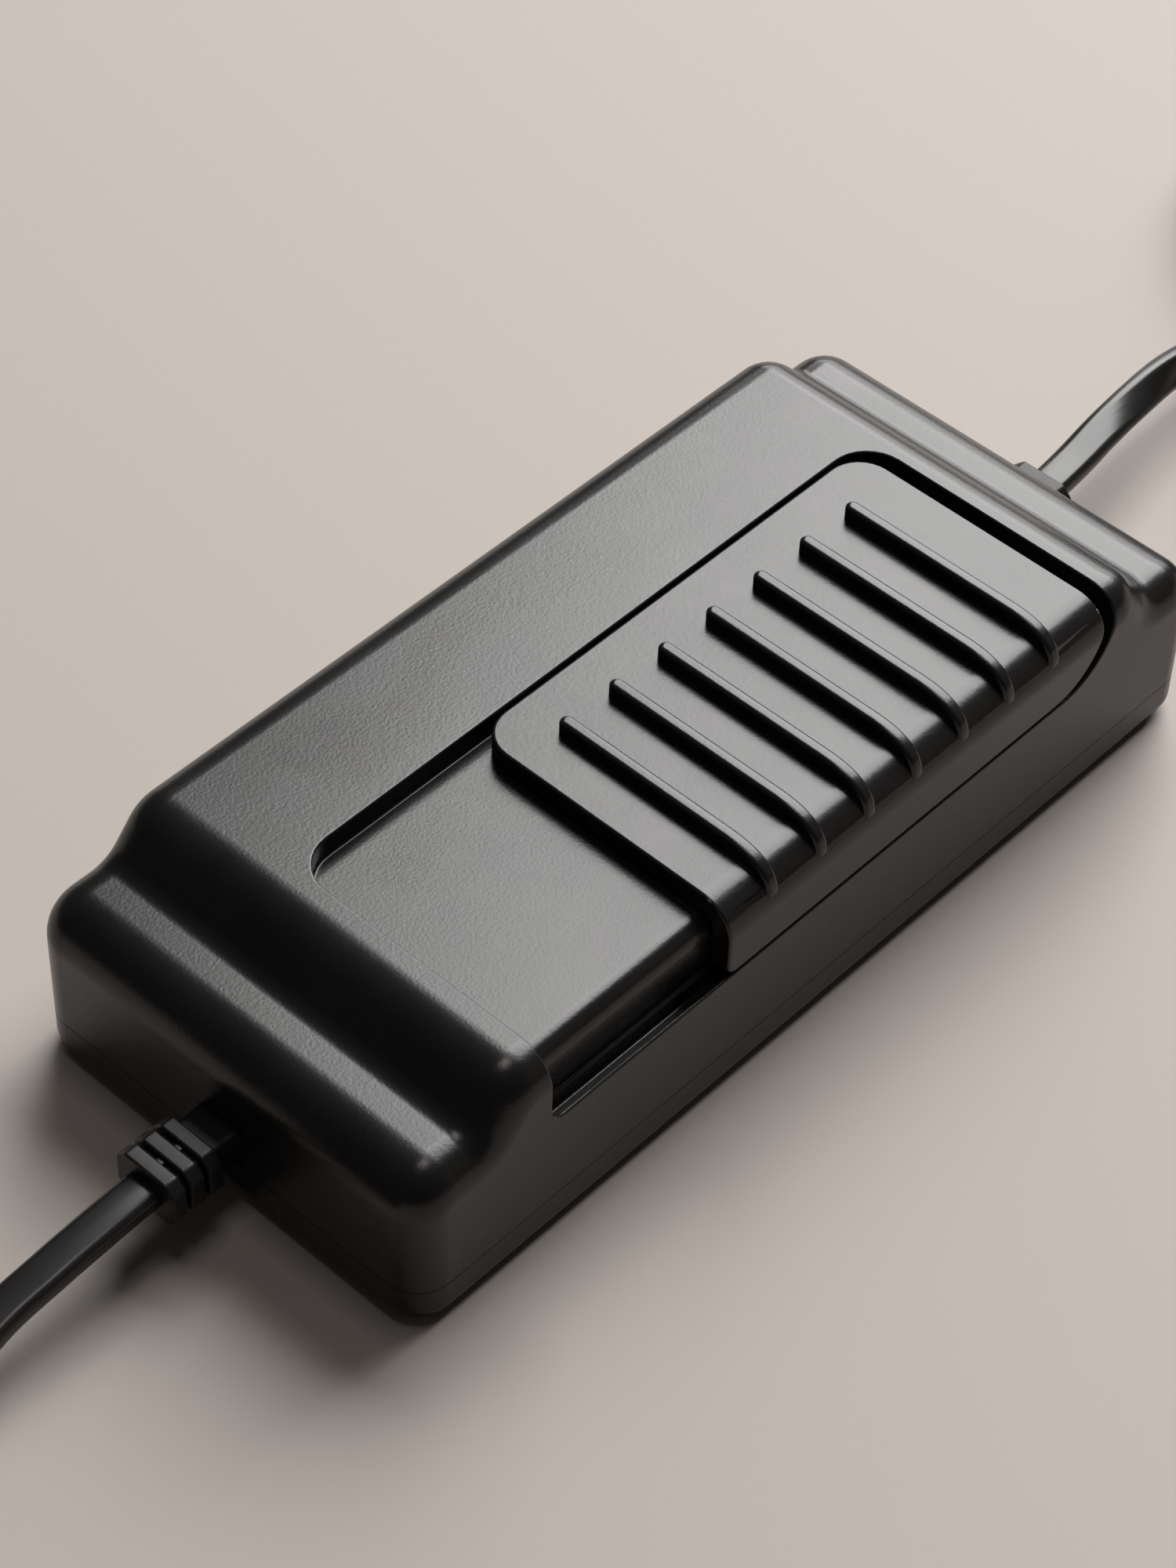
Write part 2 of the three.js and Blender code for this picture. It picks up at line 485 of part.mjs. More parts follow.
function fuseClip(end) {
  const x = FUSE.x + end * (FUSE.length / 2 - 2.75);
  const z = ON_BOARD + FUSE.z;
  const out = FUSE.radius + GAP + FUSE.clipWall;
  const arms = block(x, FUSE_Y, FUSE.clip, 2 * out, ON_BOARD, z + 1.8);
  const hole = rodX(x - FUSE.clip, x + FUSE.clip, FUSE_Y, z, FUSE.radius + GAP, 12);
  const mouth = block(x, FUSE_Y, 2 * FUSE.clip, 2 * FUSE.radius - 0.8, z, z + 4);
  return cut(arms, hole, mouth);
}

// ---------- cord entries ----------
const terminalX = (end) => end * (BOARD_END - 1.5 - TERMINAL.length / 2);
const wireZ = ON_BOARD + 3.2;

function terminalBlock(end) {
  const x = terminalX(end);
  const body = block(x, 0, TERMINAL.length, TERMINAL.width, ON_BOARD, ON_BOARD + TERMINAL.height);
  const faceX = x + end * TERMINAL.length / 2;
  const tools = [-1, 1].flatMap((side) => {
    const y = side * TERMINAL.pitch / 2;
    return [rodX(Math.min(faceX, faceX - end * 3.5) - 0.5, Math.max(faceX, faceX - end * 3.5) + 0.5,
      y, wireZ, TERMINAL.wire + 2 * GAP, 10),
    post(x, y, 1.9, ON_BOARD + 5.4, ON_BOARD + TERMINAL.height + OVER, 12)];
  });
  return cut(body, ...tools);
}

function terminalScrew(end, side) {
  const z0 = ON_BOARD + 5.4 + GAP;
  const y = side * TERMINAL.pitch / 2;
  const driverSlot = block(terminalX(end), y, 4, 0.6, z0 + 2, z0 + 4);
  return cut(post(terminalX(end), y, 1.6, z0, z0 + 3, 12), driverSlot);
}

function cordClamp(end) {
  const x = end * (END - CLAMP.endRoom);
  const halfLong = CLAMP.length / 2;
  const halfWide = CLAMP.span / 2 + 3;
  const bar = alongZ(evenBox(x - halfLong, x + halfLong, -halfWide, halfWide, 1.5),
    CLAMP_LOW, CLAMP_LOW + CLAMP.thick, { curveSegments: 1 });
  const holes = [-1, 1].map((side) =>
    post(x, side * CLAMP.span / 2, CLAMP.shank + GAP, CLAMP_LOW - OVER, CLAMP_LOW + 2 * CLAMP.thick, 8));
  return cut(bar, ...holes);
}

// The strain relief: an inner flange, a neck through the end wall and a row of plates outside it.
function strainRelief(end, plates) {
  const { width, high, plate, pitch, neck, neckHigh, start, inner } = RELIEF;
  const z0 = CORD.axis - high / 2;
  const last = END + start + (plates - 1) * pitch + plate;
  const span = (a, b, wide, tall) => box(Math.min(end * a, end * b), Math.max(end * a, end * b),
    -wide / 2, wide / 2, CORD.axis - tall / 2, CORD.axis + tall / 2);
  const core = span(END - inner, last - 0.5, neck, neckHigh);
  const flange = span(INSIDE_END - GAP - 4.4, INSIDE_END - GAP, width, neckHigh);
  const rows = Array.from({ length: plates }, (_, i) => {
    const x0 = end * (END + start + i * pitch);
    const x1 = x0 + end * plate;
    const section = evenBox(-width / 2, width / 2, z0, z0 + high, 0.9);
    return alongX(section, Math.min(x0, x1), Math.max(x0, x1), { curveSegments: 1 });
  });
  return join(core, flange, ...rows);
}

const reliefFace = (plates) => END + RELIEF.start + (plates - 1) * RELIEF.pitch + RELIEF.plate;

// The stripped end of the flex: flat sheath under the clamp, then two wires up to the terminals.
function innerLead(end) {
  const sheath = (x0, x1) => alongX(evenBox(-CORD.width / 2, CORD.width / 2,
    CORD.axis - CORD.thick / 2, CORD.axis + CORD.thick / 2, CORD.thick / 2 - 0.05),
  Math.min(x0, x1), Math.max(x0, x1), { curveSegments: 2 });
  const from = END - RELIEF.inner - GAP;
  const to = END - CLAMP.endRoom - CLAMP.length / 2 - 1;
  const faceX = end * (BOARD_END - 1.5);
  const wires = [-1, 1].map((side) => {
    const route = new THREE.CatmullRomCurve3([
      new THREE.Vector3(end * (to + 0.8), side * 1.4, CORD.axis),
      new THREE.Vector3(end * to - end * 1.5, side * 1.6, CORD.axis + 1.7),
      new THREE.Vector3(faceX + end * 1.2, side * TERMINAL.pitch / 2, wireZ),
      new THREE.Vector3(faceX - end * 2, side * TERMINAL.pitch / 2, wireZ)]);
    const ring = new THREE.Shape();
    ring.absarc(0, 0, TERMINAL.wire, 0, 2 * Math.PI, false);
    return new THREE.ExtrudeGeometry(clean(ring, 8), { steps: 7, extrudePath: route });
  });
  return join(sheath(end * from, end * to), ...wires);
}

// ---------- outside cords ----------
// The route points are the cord's own centre line. The flex leaves level, comes down to the floor
// in its own weight, and its spare length is wound in a round coil that lies there.
const MAINS_ROUTE = [[-82, 0, 10.2], [-88, 0, 9.8], [-96, 0, 9], [-105, -0.2, 7.8], [-115.2, -2.3, 5.9],
  [-121, -5.4, 4.9], [-125.4, -9.2, 4.2]];
const LAMP_ROUTE = [[79.4, 0.1, 10.2], [86, 0.6, 10.4], [93, 1.3, 10.9], [101, 2.1, 10.8], [109, 2.9, 10],
  [117, 3.1, 8.7], [124, 3.7, 7.1], [130.3, 5.3, 5.7], [137, 9.2, 4.5]];
const MAINS_COIL = [-161.4, 0];
const LAMP_COIL = [173, 0];
const TAIL_ARC = [[-18, -25.6, 14.6], [-24.6, -18.2, 14.7], [-27.6, -9.5, 14.9], [-27.6, -1, 15.2],
  [-25.1, 7.3, 15.8], [-20.6, 13.9, 16.6], [-14.6, 18.6, 17.7], [-7.6, 21.3, 18.7], [-0.8, 22, 19.1]];
const MAINS_TAIL = TAIL_ARC.map(([x, y, z]) => [MAINS_COIL[0] + x, y, z]);
const LAMP_TAIL = TAIL_ARC.map(([x, y, z]) => [LAMP_COIL[0] - x, -y, z + 0.9]);

function flex(points) {
  const route = new THREE.CatmullRomCurve3(points.map((p) => new THREE.Vector3(...p)));
  const steps = Math.max(2, Math.round(route.getLength() / (2 * CORD.width)));
  const { width, thick } = CORD;
  const section = new THREE.Shape();
  const flat = (width - thick) / 2;
  section.absarc(0, flat, thick / 2, 0, Math.PI, false);
  section.absarc(0, -flat, thick / 2, Math.PI, 2 * Math.PI, false);
  section.closePath();
  return solid(new THREE.ExtrudeGeometry(clean(section, 2), { steps: 2 * steps, extrudePath: route }));
}

function coil([x, y]) {
  const { inner, outer, bottom, high } = COIL;
  const top = bottom + high;
  const profile = [[inner, bottom], [outer, bottom], [outer, top], [inner, top], [inner, bottom]];
  const ring = new THREE.LatheGeometry(profile.map(([r, z]) => new THREE.Vector2(r, z)), 32);
  return solid(ring.rotateX(Math.PI / 2).translate(x, y, 0));
}

// A strap round the bundle of turns, on the side of the coil away from the housing.
function coilTie([x, y], end) {
  const { inner, outer, bottom, high, tie, tieWide } = COIL;
  const inside = inner - 2 * GAP - tie;
  const outside = outer + GAP + tie;
  const x0 = x + Math.min(end * inside, end * outside);
  const x1 = x + Math.max(end * inside, end * outside);
  const z0 = bottom - GAP - tie;
  const z1 = bottom + high + GAP + tie;
  return cut(box(x0, x1, y - tieWide / 2, y + tieWide / 2, z0, z1),
    box(x0 + tie, x1 - tie, y - tieWide, y + tieWide, z0 + tie, z1 - tie));
}

// Both ends of the lead lie on top of their coils, pointing back at the housing.
const ON_COIL = COIL.bottom + COIL.high + GAP;
const PLUG = {
  length: 35, width: 26, high: 13.7, rear: 10, taper: 13, pin: 2, pinLong: 19, pitch: 18.6, edge: 3,
};
const SOCKET = {
  length: 44, width: 28, high: 15.6, rear: 10, taper: 12, hole: 2.4, deep: 19, pitch: 18.6, edge: 3,
};

// A moulded connector body, narrow where the flex goes in, with soft edges all round.
function connectorBody({ length, width, high, rear, taper, edge }, x, y, way) {
  const outline = new THREE.Shape([[0, rear / 2], [0, -rear / 2], [way * taper, -width / 2],
    [way * length, -width / 2], [way * length, width / 2], [way * taper, width / 2],
  ].map(([px, py]) => new THREE.Vector2(x + px, y + py)));
  const bevel = {
    bevelEnabled: true, bevelThickness: edge, bevelSize: edge, bevelOffset: -edge, bevelSegments: 2,
  };
  return alongZ(outline, ON_COIL + edge, ON_COIL + high - edge, bevel);
}

const [PLUG_X, PLUG_Y] = [MAINS_TAIL.at(-1)[0] + GAP, MAINS_TAIL.at(-1)[1]];
const [SOCKET_X, SOCKET_Y] = [LAMP_TAIL.at(-1)[0] - GAP, LAMP_TAIL.at(-1)[1]];

const mainsPlug = () => solid(connectorBody(PLUG, PLUG_X, PLUG_Y, 1));

function plugPin(side) {
  const x0 = PLUG_X + PLUG.length + GAP;
  const y = PLUG_Y + side * PLUG.pitch / 2;
  return solid(rodX(x0, x0 + PLUG.pinLong, y, ON_COIL + PLUG.high / 2, PLUG.pin, 10));
}

function lampSocket() {
  const { length, high, hole, deep, pitch } = SOCKET;
  const face = SOCKET_X - length;
  const holes = [-1, 1].map((side) =>
    rodX(face - OVER, face + deep, SOCKET_Y + side * pitch / 2, ON_COIL + high / 2, hole, 10));
  return cut(connectorBody(SOCKET, SOCKET_X, SOCKET_Y, -1), ...holes);
}

// ---------- assembly ----------
const plastic = (color, roughness) => new THREE.MeshStandardMaterial({ color, roughness, metalness: 0 });
const metal = (color, roughness) => new THREE.MeshStandardMaterial({ color, roughness, metalness: 1 });
const FINISH = {
  housing: () => plastic(0x1b1a19, 0.5),
  pedal: () => plastic(0x1d1c1b, 0.48),
  rubber: () => plastic(0x141414, 0.8),
  flex: () => plastic(0x161616, 0.35),
  board: () => plastic(0x2f5a34, 0.6),
  moulded: () => plastic(0xb9b4a4, 0.6),
  black: () => plastic(0x202022, 0.5),
  film: () => plastic(0xb08a2a, 0.5),
  copper: () => plastic(0x8a4a24, 0.4),
  resistor: () => plastic(0xc0a070, 0.5),
  glass: () => plastic(0xb9c4c8, 0.2),
  steel: () => metal(0xb0b2b5, 0.35),
  zinc: () => metal(0x9a9da1, 0.45),
  alloy: () => metal(0xc4c6c8, 0.4),
  brass: () => metal(0xb8964c, 0.35),
  tie: () => plastic(0x24262a, 0.7),
};

const object = new THREE.Group();

function addPart(name, shape, material) {
  const data = shape.getMesh();
  const form = new THREE.BufferGeometry();
  form.setAttribute('position', new THREE.BufferAttribute(new Float32Array(data.vertProperties), 3));
  form.setIndex(new THREE.BufferAttribute(new Uint32Array(data.triVerts), 1));
  form.computeVertexNormals();
  const part = new THREE.Mesh(form, material);
  part.name = name;
  object.add(part);
}

addPart('top_cover', topCover(), FINISH.housing());
addPart('base_tray', baseTray(), FINISH.housing());
screwPlaces.forEach(([x, y], i) => {
  const headTop = TRAY_INSIDE + 2.2 - GAP;
  const tip = BOARD.bottom + 0.7 + SCREW.reach - GAP;
  const piece = screw(x, y, headTop, SCREW.headHigh, SCREW.head, SCREW.shank, tip);
  addPart(`housing_screw_${i + 1}`, piece, FINISH.zinc());
});
footPlaces.forEach(([x, y], i) => {
  addPart(`rubber_foot_${i + 1}`, solid(post(x, y, FOOT.radius, 0, FOOT.thick, 16)), FINISH.rubber());
});

addPart('slide_pedal', slidePedal(), FINISH.pedal());
addPart('slide_retainer', slideRetainer(), FINISH.moulded());
[-1, 1].forEach((side, i) => {
  const headFace = RETAINER_TOP - RETAINER.thick - GAP;
  addPart(`retainer_screw_${i + 1}`, screw(PEDAL_MID, BOSS_Y + side * RETAINER.screwAt, headFace, 1.2,
    RETAINER.head, RETAINER.shank, PEDAL_UNDER + 0.6), FINISH.zinc());
});
addPart('pot_lever', potLever(), FINISH.black());
addPart('pot_housing', potHousing(), FINISH.steel());
addPart('pot_track', solid(potTrack()), FINISH.copper());

addPart('circuit_board', circuitBoard(), FINISH.board());
addPart('heat_sink', heatSink(), FINISH.alloy());
addPart('triac', triac(), FINISH.black());
addPart('heat_sink_screw', sinkScrew(), FINISH.zinc());
addPart('choke', choke(), FINISH.copper());
addPart('film_capacitor', capacitor(-30, 13, 18, 8, 13), FINISH.film());
addPart('timing_capacitor', capacitor(30, -14, 8, 4, 7), FINISH.film());
addPart('diac', axial(-16, 1, 4, 1, 8), FINISH.glass());
addPart('resistor_1', axial(0, 1, 6.5, 1.2, 11), FINISH.resistor());
addPart('resistor_2', axial(16, 1, 6.5, 1.2, 11), FINISH.resistor());
addPart('fuse', fuse(), FINISH.glass());
[-1, 1].forEach((end, i) => addPart(`fuse_clip_${i + 1}`, fuseClip(end), FINISH.brass()));

for (const [end, tag] of [[-1, 'in'], [1, 'out']]) {
  addPart(`terminal_block_${tag}`, terminalBlock(end), FINISH.moulded());
  [-1, 1].forEach((side, i) => {
    addPart(`terminal_screw_${tag}_${i + 1}`, terminalScrew(end, side), FINISH.zinc());
  });
  addPart(`cord_clamp_${tag}`, cordClamp(end), FINISH.moulded());
  [-1, 1].forEach((side, i) => {
    const top = CLAMP_LOW + CLAMP.thick + GAP;
    addPart(`clamp_screw_${tag}_${i + 1}`, screw(end * (END - CLAMP.endRoom), side * CLAMP.span / 2, top, 1.4,
      CLAMP.head, CLAMP.shank, TRAY_INSIDE + 3), FINISH.zinc());
  });
  addPart(`inner_lead_${tag}`, innerLead(end), FINISH.flex());
}
const PLATES = { in: 3, out: 2 };
addPart('strain_relief_in', strainRelief(-1, PLATES.in), FINISH.rubber());
addPart('strain_relief_out', strainRelief(1, PLATES.out), FINISH.rubber());

addPart('mains_cord', flex(MAINS_ROUTE), FINISH.flex());
addPart('mains_coil', coil(MAINS_COIL), FINISH.flex());
addPart('mains_tie', coilTie(MAINS_COIL, -1), FINISH.tie());
addPart('mains_tail', flex(MAINS_TAIL), FINISH.flex());
addPart('mains_plug', mainsPlug(), FINISH.rubber());
[-1, 1].forEach((side, i) => addPart(`plug_pin_${i + 1}`, plugPin(side), FINISH.steel()));
addPart('lamp_cord', flex(LAMP_ROUTE), FINISH.flex());
addPart('lamp_coil', coil(LAMP_COIL), FINISH.flex());
addPart('lamp_tie', coilTie(LAMP_COIL, 1), FINISH.tie());
addPart('lamp_tail', flex(LAMP_TAIL), FINISH.flex());
addPart('lamp_socket', lampSocket(), FINISH.rubber());

export default object;
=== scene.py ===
# %% [markdown]
# # An in-line foot slide dimmer
# The object is a low black housing with a ribbed pedal that slides along its edge.
# A flat flex leaves each end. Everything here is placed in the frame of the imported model:
# one scene unit is a metre, X runs along the housing, the pedal is on the -Y side and Z = 0 is the floor.

# %% Load the frame
import math

import bmesh
import bpy
from mathutils import Matrix, Vector


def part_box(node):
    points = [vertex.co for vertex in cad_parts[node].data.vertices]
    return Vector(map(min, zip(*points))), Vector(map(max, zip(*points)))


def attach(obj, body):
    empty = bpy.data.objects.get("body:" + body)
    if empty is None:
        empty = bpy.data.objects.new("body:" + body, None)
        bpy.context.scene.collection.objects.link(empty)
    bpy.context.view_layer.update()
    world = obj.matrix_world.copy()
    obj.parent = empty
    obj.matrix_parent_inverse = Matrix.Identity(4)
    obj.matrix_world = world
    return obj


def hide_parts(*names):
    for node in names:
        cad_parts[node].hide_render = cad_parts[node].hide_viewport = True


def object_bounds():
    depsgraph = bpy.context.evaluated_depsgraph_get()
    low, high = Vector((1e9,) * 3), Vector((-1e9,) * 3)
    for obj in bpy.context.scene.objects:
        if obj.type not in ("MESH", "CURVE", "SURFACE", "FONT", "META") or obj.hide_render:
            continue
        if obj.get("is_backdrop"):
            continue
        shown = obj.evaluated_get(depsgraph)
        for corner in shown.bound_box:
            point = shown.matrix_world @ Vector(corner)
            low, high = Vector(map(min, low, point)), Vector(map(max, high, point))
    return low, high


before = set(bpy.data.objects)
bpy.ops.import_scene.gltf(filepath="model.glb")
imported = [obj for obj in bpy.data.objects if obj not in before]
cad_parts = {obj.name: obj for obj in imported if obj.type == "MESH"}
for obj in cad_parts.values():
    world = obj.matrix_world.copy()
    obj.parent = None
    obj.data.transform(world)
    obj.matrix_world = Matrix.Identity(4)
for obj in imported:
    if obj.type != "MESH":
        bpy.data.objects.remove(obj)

cad_box = [list(corner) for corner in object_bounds()]

# %% [markdown]
# ## The camera
# A long lens from about half a metre away, looking down at 47 degrees from the near left corner,
# so that the top, the near end and the long front face all show. The camera leans by a degree and
# a half, as a hand-held one does, so its axes are written out as they are.

# %% Camera
MM = 0.001
SENSOR = 36.0


def millimetres(*values):
    """A point given in millimetres, as a vector in metres."""
    return Vector(values) * MM


def aim_camera(place, right, ahead, lens):
    """A camera at place, with its picture's right side and its line of sight along two directions."""
    camera = bpy.data.objects.new("camera", bpy.data.cameras.new("camera"))
    bpy.context.scene.collection.objects.link(camera)
    camera.data.sensor_width = SENSOR
    camera.data.lens = lens
    back = -Vector(ahead).normalized()
    across = Vector(right).normalized()
    up = back.cross(across)
    turn = Matrix((across, up, back)).transposed().to_4x4()
    camera.matrix_world = Matrix.Translation(place) @ turn
    camera.data.clip_start = 0.01
    bpy.context.scene.camera = camera
    return camera


camera = aim_camera(millimetres(-252.1, -214.6, 370.2),
                    right=(0.6829, -0.7301, 0.0258), ahead=(0.5096, 0.4508, -0.7328), lens=91.98)
print("camera is", round(camera.location.length, 3), "m from the middle of the footprint")

# %% [markdown]
# ## Shader maths as Python
# A material is easier to read as an expression than as a list of nodes and links. `Wire` stands for
# one output of a node. Arithmetic on it adds Math nodes, and `node` adds a node of any other kind:
# first its settings, then the values or wires that go into its inputs.

# %% The Wire class
class Wire:
    """One output socket in a node tree, which can be calculated with."""

    def __init__(self, tree, socket=None):
        self.tree = tree
        self.socket = socket

    def node(self, kind, settings=None, inputs=None, out=0):
        made = self.tree.nodes.new(kind)
        for name, value in (settings or {}).items():
            if name == "stops":
                self._set_stops(made.color_ramp, value)
            else:
                setattr(made, name, value)
        for name, value in (inputs or {}).items():
            if isinstance(value, Wire):
                self.tree.links.new(value.socket, made.inputs[name])
            else:
                made.inputs[name].default_value = value
        return Wire(self.tree, made.outputs[out]) if made.outputs else made

    @staticmethod
    def _set_stops(ramp, stops):
        while len(ramp.elements) < len(stops):
            ramp.elements.new(1.0)
        for element, (place, grey) in zip(ramp.elements, stops):
            element.position = place
            element.color = (grey, grey, grey, 1)

    def _math(self, operation, first, second):
        return self.node("ShaderNodeMath", {"operation": operation}, {0: first, 1: second})

    def __add__(self, other):
        return self._math("ADD", self, other)

    def __mul__(self, other):
        return self._math("MULTIPLY", self, other)

    def __sub__(self, other):
        return self._math("SUBTRACT", self, other)

    def __rsub__(self, other):
        return self._math("SUBTRACT", other, self)

    __radd__ = __add__
    __rmul__ = __mul__

    def ramp(self, *stops):
        """The value put through a ramp of (place, grey) stops."""
        return self.node("ShaderNodeValToRGB", {"stops": stops}, {"Fac": self})

    def tint(self, low, high):
        """A colour that goes from low to high as the value goes from 0 to 1."""
        return self.node("ShaderNodeMix", {"data_type": "RGBA"},
                         {"Factor": self, 6: (*low, 1), 7: (*high, 1)}, out=2)


def noise(wire, size_mm, detail=2.0, roughness=0.5, stretch=None):
    """Soft lumps of about size_mm, from 0 to 1, fixed to the piece."""
    place = wire.node("ShaderNodeTexCoord", out=3)
    if stretch:
        place = wire.node("ShaderNodeVectorMath", {"operation": "MULTIPLY"}, {0: place, 1: stretch})
    return wire.node("ShaderNodeTexNoise", {}, {
        "Vector": place, "Scale": 1 / (size_mm * MM), "Detail": detail, "Roughness": roughness})


# %% [markdown]
# Every finish is a function that returns what varies over the surface. What stays constant goes
# straight on the shader. A bump gets its depth in millimetres.

# %% A new material
def material(name, constants, recipe):
    """Makes a material: constants go straight on the shader, and recipe returns what varies."""
    made = bpy.data.materials.new(name)
    made.use_nodes = True
    tree = made.node_tree
    shader = next(n for n in tree.nodes if n.type == "BSDF_PRINCIPLED")
    for socket, value in constants.items():
        shader.inputs[socket].default_value = value
    for socket, wire in recipe(Wire(tree)).items():
        tree.links.new(wire.socket, shader.inputs[socket])
    return made


def bump(wire, height, strength, depth_mm):
    """A relief on the surface that stands depth_mm high where height is 1."""
    return wire.node("ShaderNodeBump", {}, {
        "Height": height, "Strength": strength, "Distance": depth_mm * MM})


# %% [markdown]
# ## Finishes
# The housing and the pedal are black ABS from a spark-eroded mould: a fine even grain of a little
# under half a millimetre, which scatters the light of a window into a soft grey sheen. Handling
# leaves slightly smoother patches, and a little pale dust settles in the grain.

# %% Black mouldings
def moulded_plastic(name, colour, rough, grain_mm, grain_depth, dust=0.006, gloss=0.5):
    """A moulded finish: dust is how much paler it gets where it is worn, gloss how much it mirrors."""
    def recipe(wire):
        grain = noise(wire, grain_mm, detail=1.5)
        patches = noise(wire, 14, detail=3)
        mottle = noise(wire, 2.6, detail=2)
        specks = noise(wire, 1.1, detail=4, roughness=0.7).ramp((0.62, 0.0), (0.74, 1.0))
        lifted = patches.ramp((0.35, 0.0), (0.75, 1.0)) * 0.35 + specks * 0.25 + grain * 0.25
        pale = tuple(c + dust for c in colour)
        return {
            "Base Color": lifted.tint(colour, pale),
            "Roughness": rough - 0.08 + patches * 0.08 + mottle * 0.03 + grain * 0.02,
            "Normal": bump(wire, grain, 0.5, grain_depth),
        }
    return material(name, {"IOR": 1.5, "Specular IOR Level": gloss}, recipe)


HOUSING_BLACK = moulded_plastic("housing_black", (0.0048, 0.0045, 0.0042), 0.28, 0.42, 0.03, gloss=0.43)
PEDAL_BLACK = moulded_plastic("pedal_black", (0.0052, 0.0048, 0.0046), 0.28, 0.5, 0.028, gloss=0.43)
TRAY_BLACK = moulded_plastic("tray_black", (0.0048, 0.0045, 0.0042), 0.31, 0.42, 0.03, gloss=0.43)
RELIEF_BLACK = moulded_plastic("relief_black", (0.0055, 0.0052, 0.0050), 0.40, 0.3, 0.012, gloss=0.28)
FOOT_RUBBER = moulded_plastic("foot_rubber", (0.018, 0.018, 0.018), 0.75, 0.6, 0.02)
RESIN_BLACK = moulded_plastic("resin_black", (0.022, 0.022, 0.023), 0.5, 0.35, 0.01)
TIE_WEAVE = moulded_plastic("tie_weave", (0.02, 0.02, 0.022), 0.85, 0.35, 0.09)
NYLON = moulded_plastic("nylon", (0.52, 0.49, 0.41), 0.48, 0.8, 0.012, dust=0.06)
LACQUER = moulded_plastic("lacquer", (0.50, 0.36, 0.20), 0.4, 0.5, 0.01, dust=0.05)
FILM = moulded_plastic("dipped_film", (0.42, 0.22, 0.03), 0.3, 1.6, 0.03, dust=0.05)
print("mouldings:", [m.name for m in bpy.data.materials if m.use_nodes][:4])

# %% [markdown]
# The flex has a smooth PVC sheath. It is extruded, so what little texture it has runs along it,
# and it is glossier than the mouldings. Metal parts are turned, drawn or plated.

# %% Flex, metal, laminate and glass
def sheath(name, colour, rough):
    def recipe(wire):
        lines = noise(wire, 0.7, detail=4, stretch=(0.08, 1, 1))
        smears = noise(wire, 9, detail=2)
        return {
            "Base Color": smears.tint(colour, tuple(c + 0.004 for c in colour)),
            "Roughness": rough + smears * 0.08 + lines * 0.06,
            "Normal": bump(wire, lines, 0.2, 0.05),
        }
    return material(name, {"IOR": 1.5, "Specular IOR Level": 0.42}, recipe)


def metal(name, colour, rough, stretch=(1, 1, 1)):
    def recipe(wire):
        marks = noise(wire, 0.5, detail=3, stretch=stretch)
        stain = noise(wire, 5, detail=2)
        return {
            "Base Color": stain.tint(tuple(c * 0.82 for c in colour), colour),
            "Roughness": rough + marks * 0.16,
            "Normal": bump(wire, marks, 0.15, 0.01),
        }
    return material(name, {"Metallic": 1.0}, recipe)


def laminate(name):
    def recipe(wire):
        weave = noise(wire, 0.6, detail=2)
        tracks = noise(wire, 6, detail=1).ramp((0.47, 0.0), (0.5, 1.0))
        return {
            "Base Color": tracks.tint((0.035, 0.13, 0.05), (0.06, 0.20, 0.08)),
            "Roughness": 0.35 + weave * 0.2,
            "Normal": bump(wire, tracks, 0.3, 0.03),
        }
    return material(name, {}, recipe)


def clear_tube(name):
    def recipe(wire):
        clouds = noise(wire, 2, detail=2)
        return {
            "Base Color": clouds.tint((0.70, 0.76, 0.78), (0.80, 0.84, 0.85)),
            "Roughness": 0.05 + clouds * 0.06,
        }
    return material(name, {"Transmission Weight": 0.8, "IOR": 1.47}, recipe)


SHEATH_BLACK = sheath("sheath_black", (0.0075, 0.0070, 0.0066), 0.2)
ZINC = metal("zinc_plate", (0.62, 0.63, 0.64), 0.32)
NICKEL = metal("nickel_plate", (0.72, 0.71, 0.68), 0.18, stretch=(0.15, 1, 1))
PRESSED_STEEL = metal("pressed_steel", (0.56, 0.57, 0.58), 0.34, stretch=(0.1, 1, 1))
ALUMINIUM = metal("drawn_aluminium", (0.78, 0.79, 0.80), 0.36, stretch=(1, 1, 0.1))
BRASS = metal("clip_brass", (0.74, 0.56, 0.27), 0.3)
COPPER = metal("enamelled_copper", (0.62, 0.27, 0.12), 0.3, stretch=(1, 1, 0.3))
LAMINATE = laminate("board_laminate")
GLASS = clear_tube("fuse_glass")
print("materials:", len(bpy.data.materials))

# %% [markdown]
# ## The flex
# Each lead is a flat two-core flex, 5.2 mm wide and 2.9 mm thick. It leaves its strain relief
# level and lying flat, sinks to the floor under its own weight, and turns on edge as it joins a
# coil, where the unseen length is wound: eight turns in two layers, held by a tie. Each end then
# lifts off the coil and goes into the connector that lies on top. The line is made of three kinds
# of stretch: listed points, the coil's turns from a loop, and the short tail.

# %% Sizes and routes of the flex
CORD_WIDE, CORD_THICK = 5.2, 2.9
COIL_TURNS, COIL_PITCH, COIL_OUTER = 4, 3.3, 31.95
COIL_LOW, COIL_HIGH = 3.65, 9.25
CORD_CORNER = 1.15
JOG = 0.14                     # the share of a turn in which the flex steps over to the next one
CLIMB_STEPS = 14
TAIL_TURN = (0.15, 0.7)        # where the end of a lead starts to turn flat again, and over how much

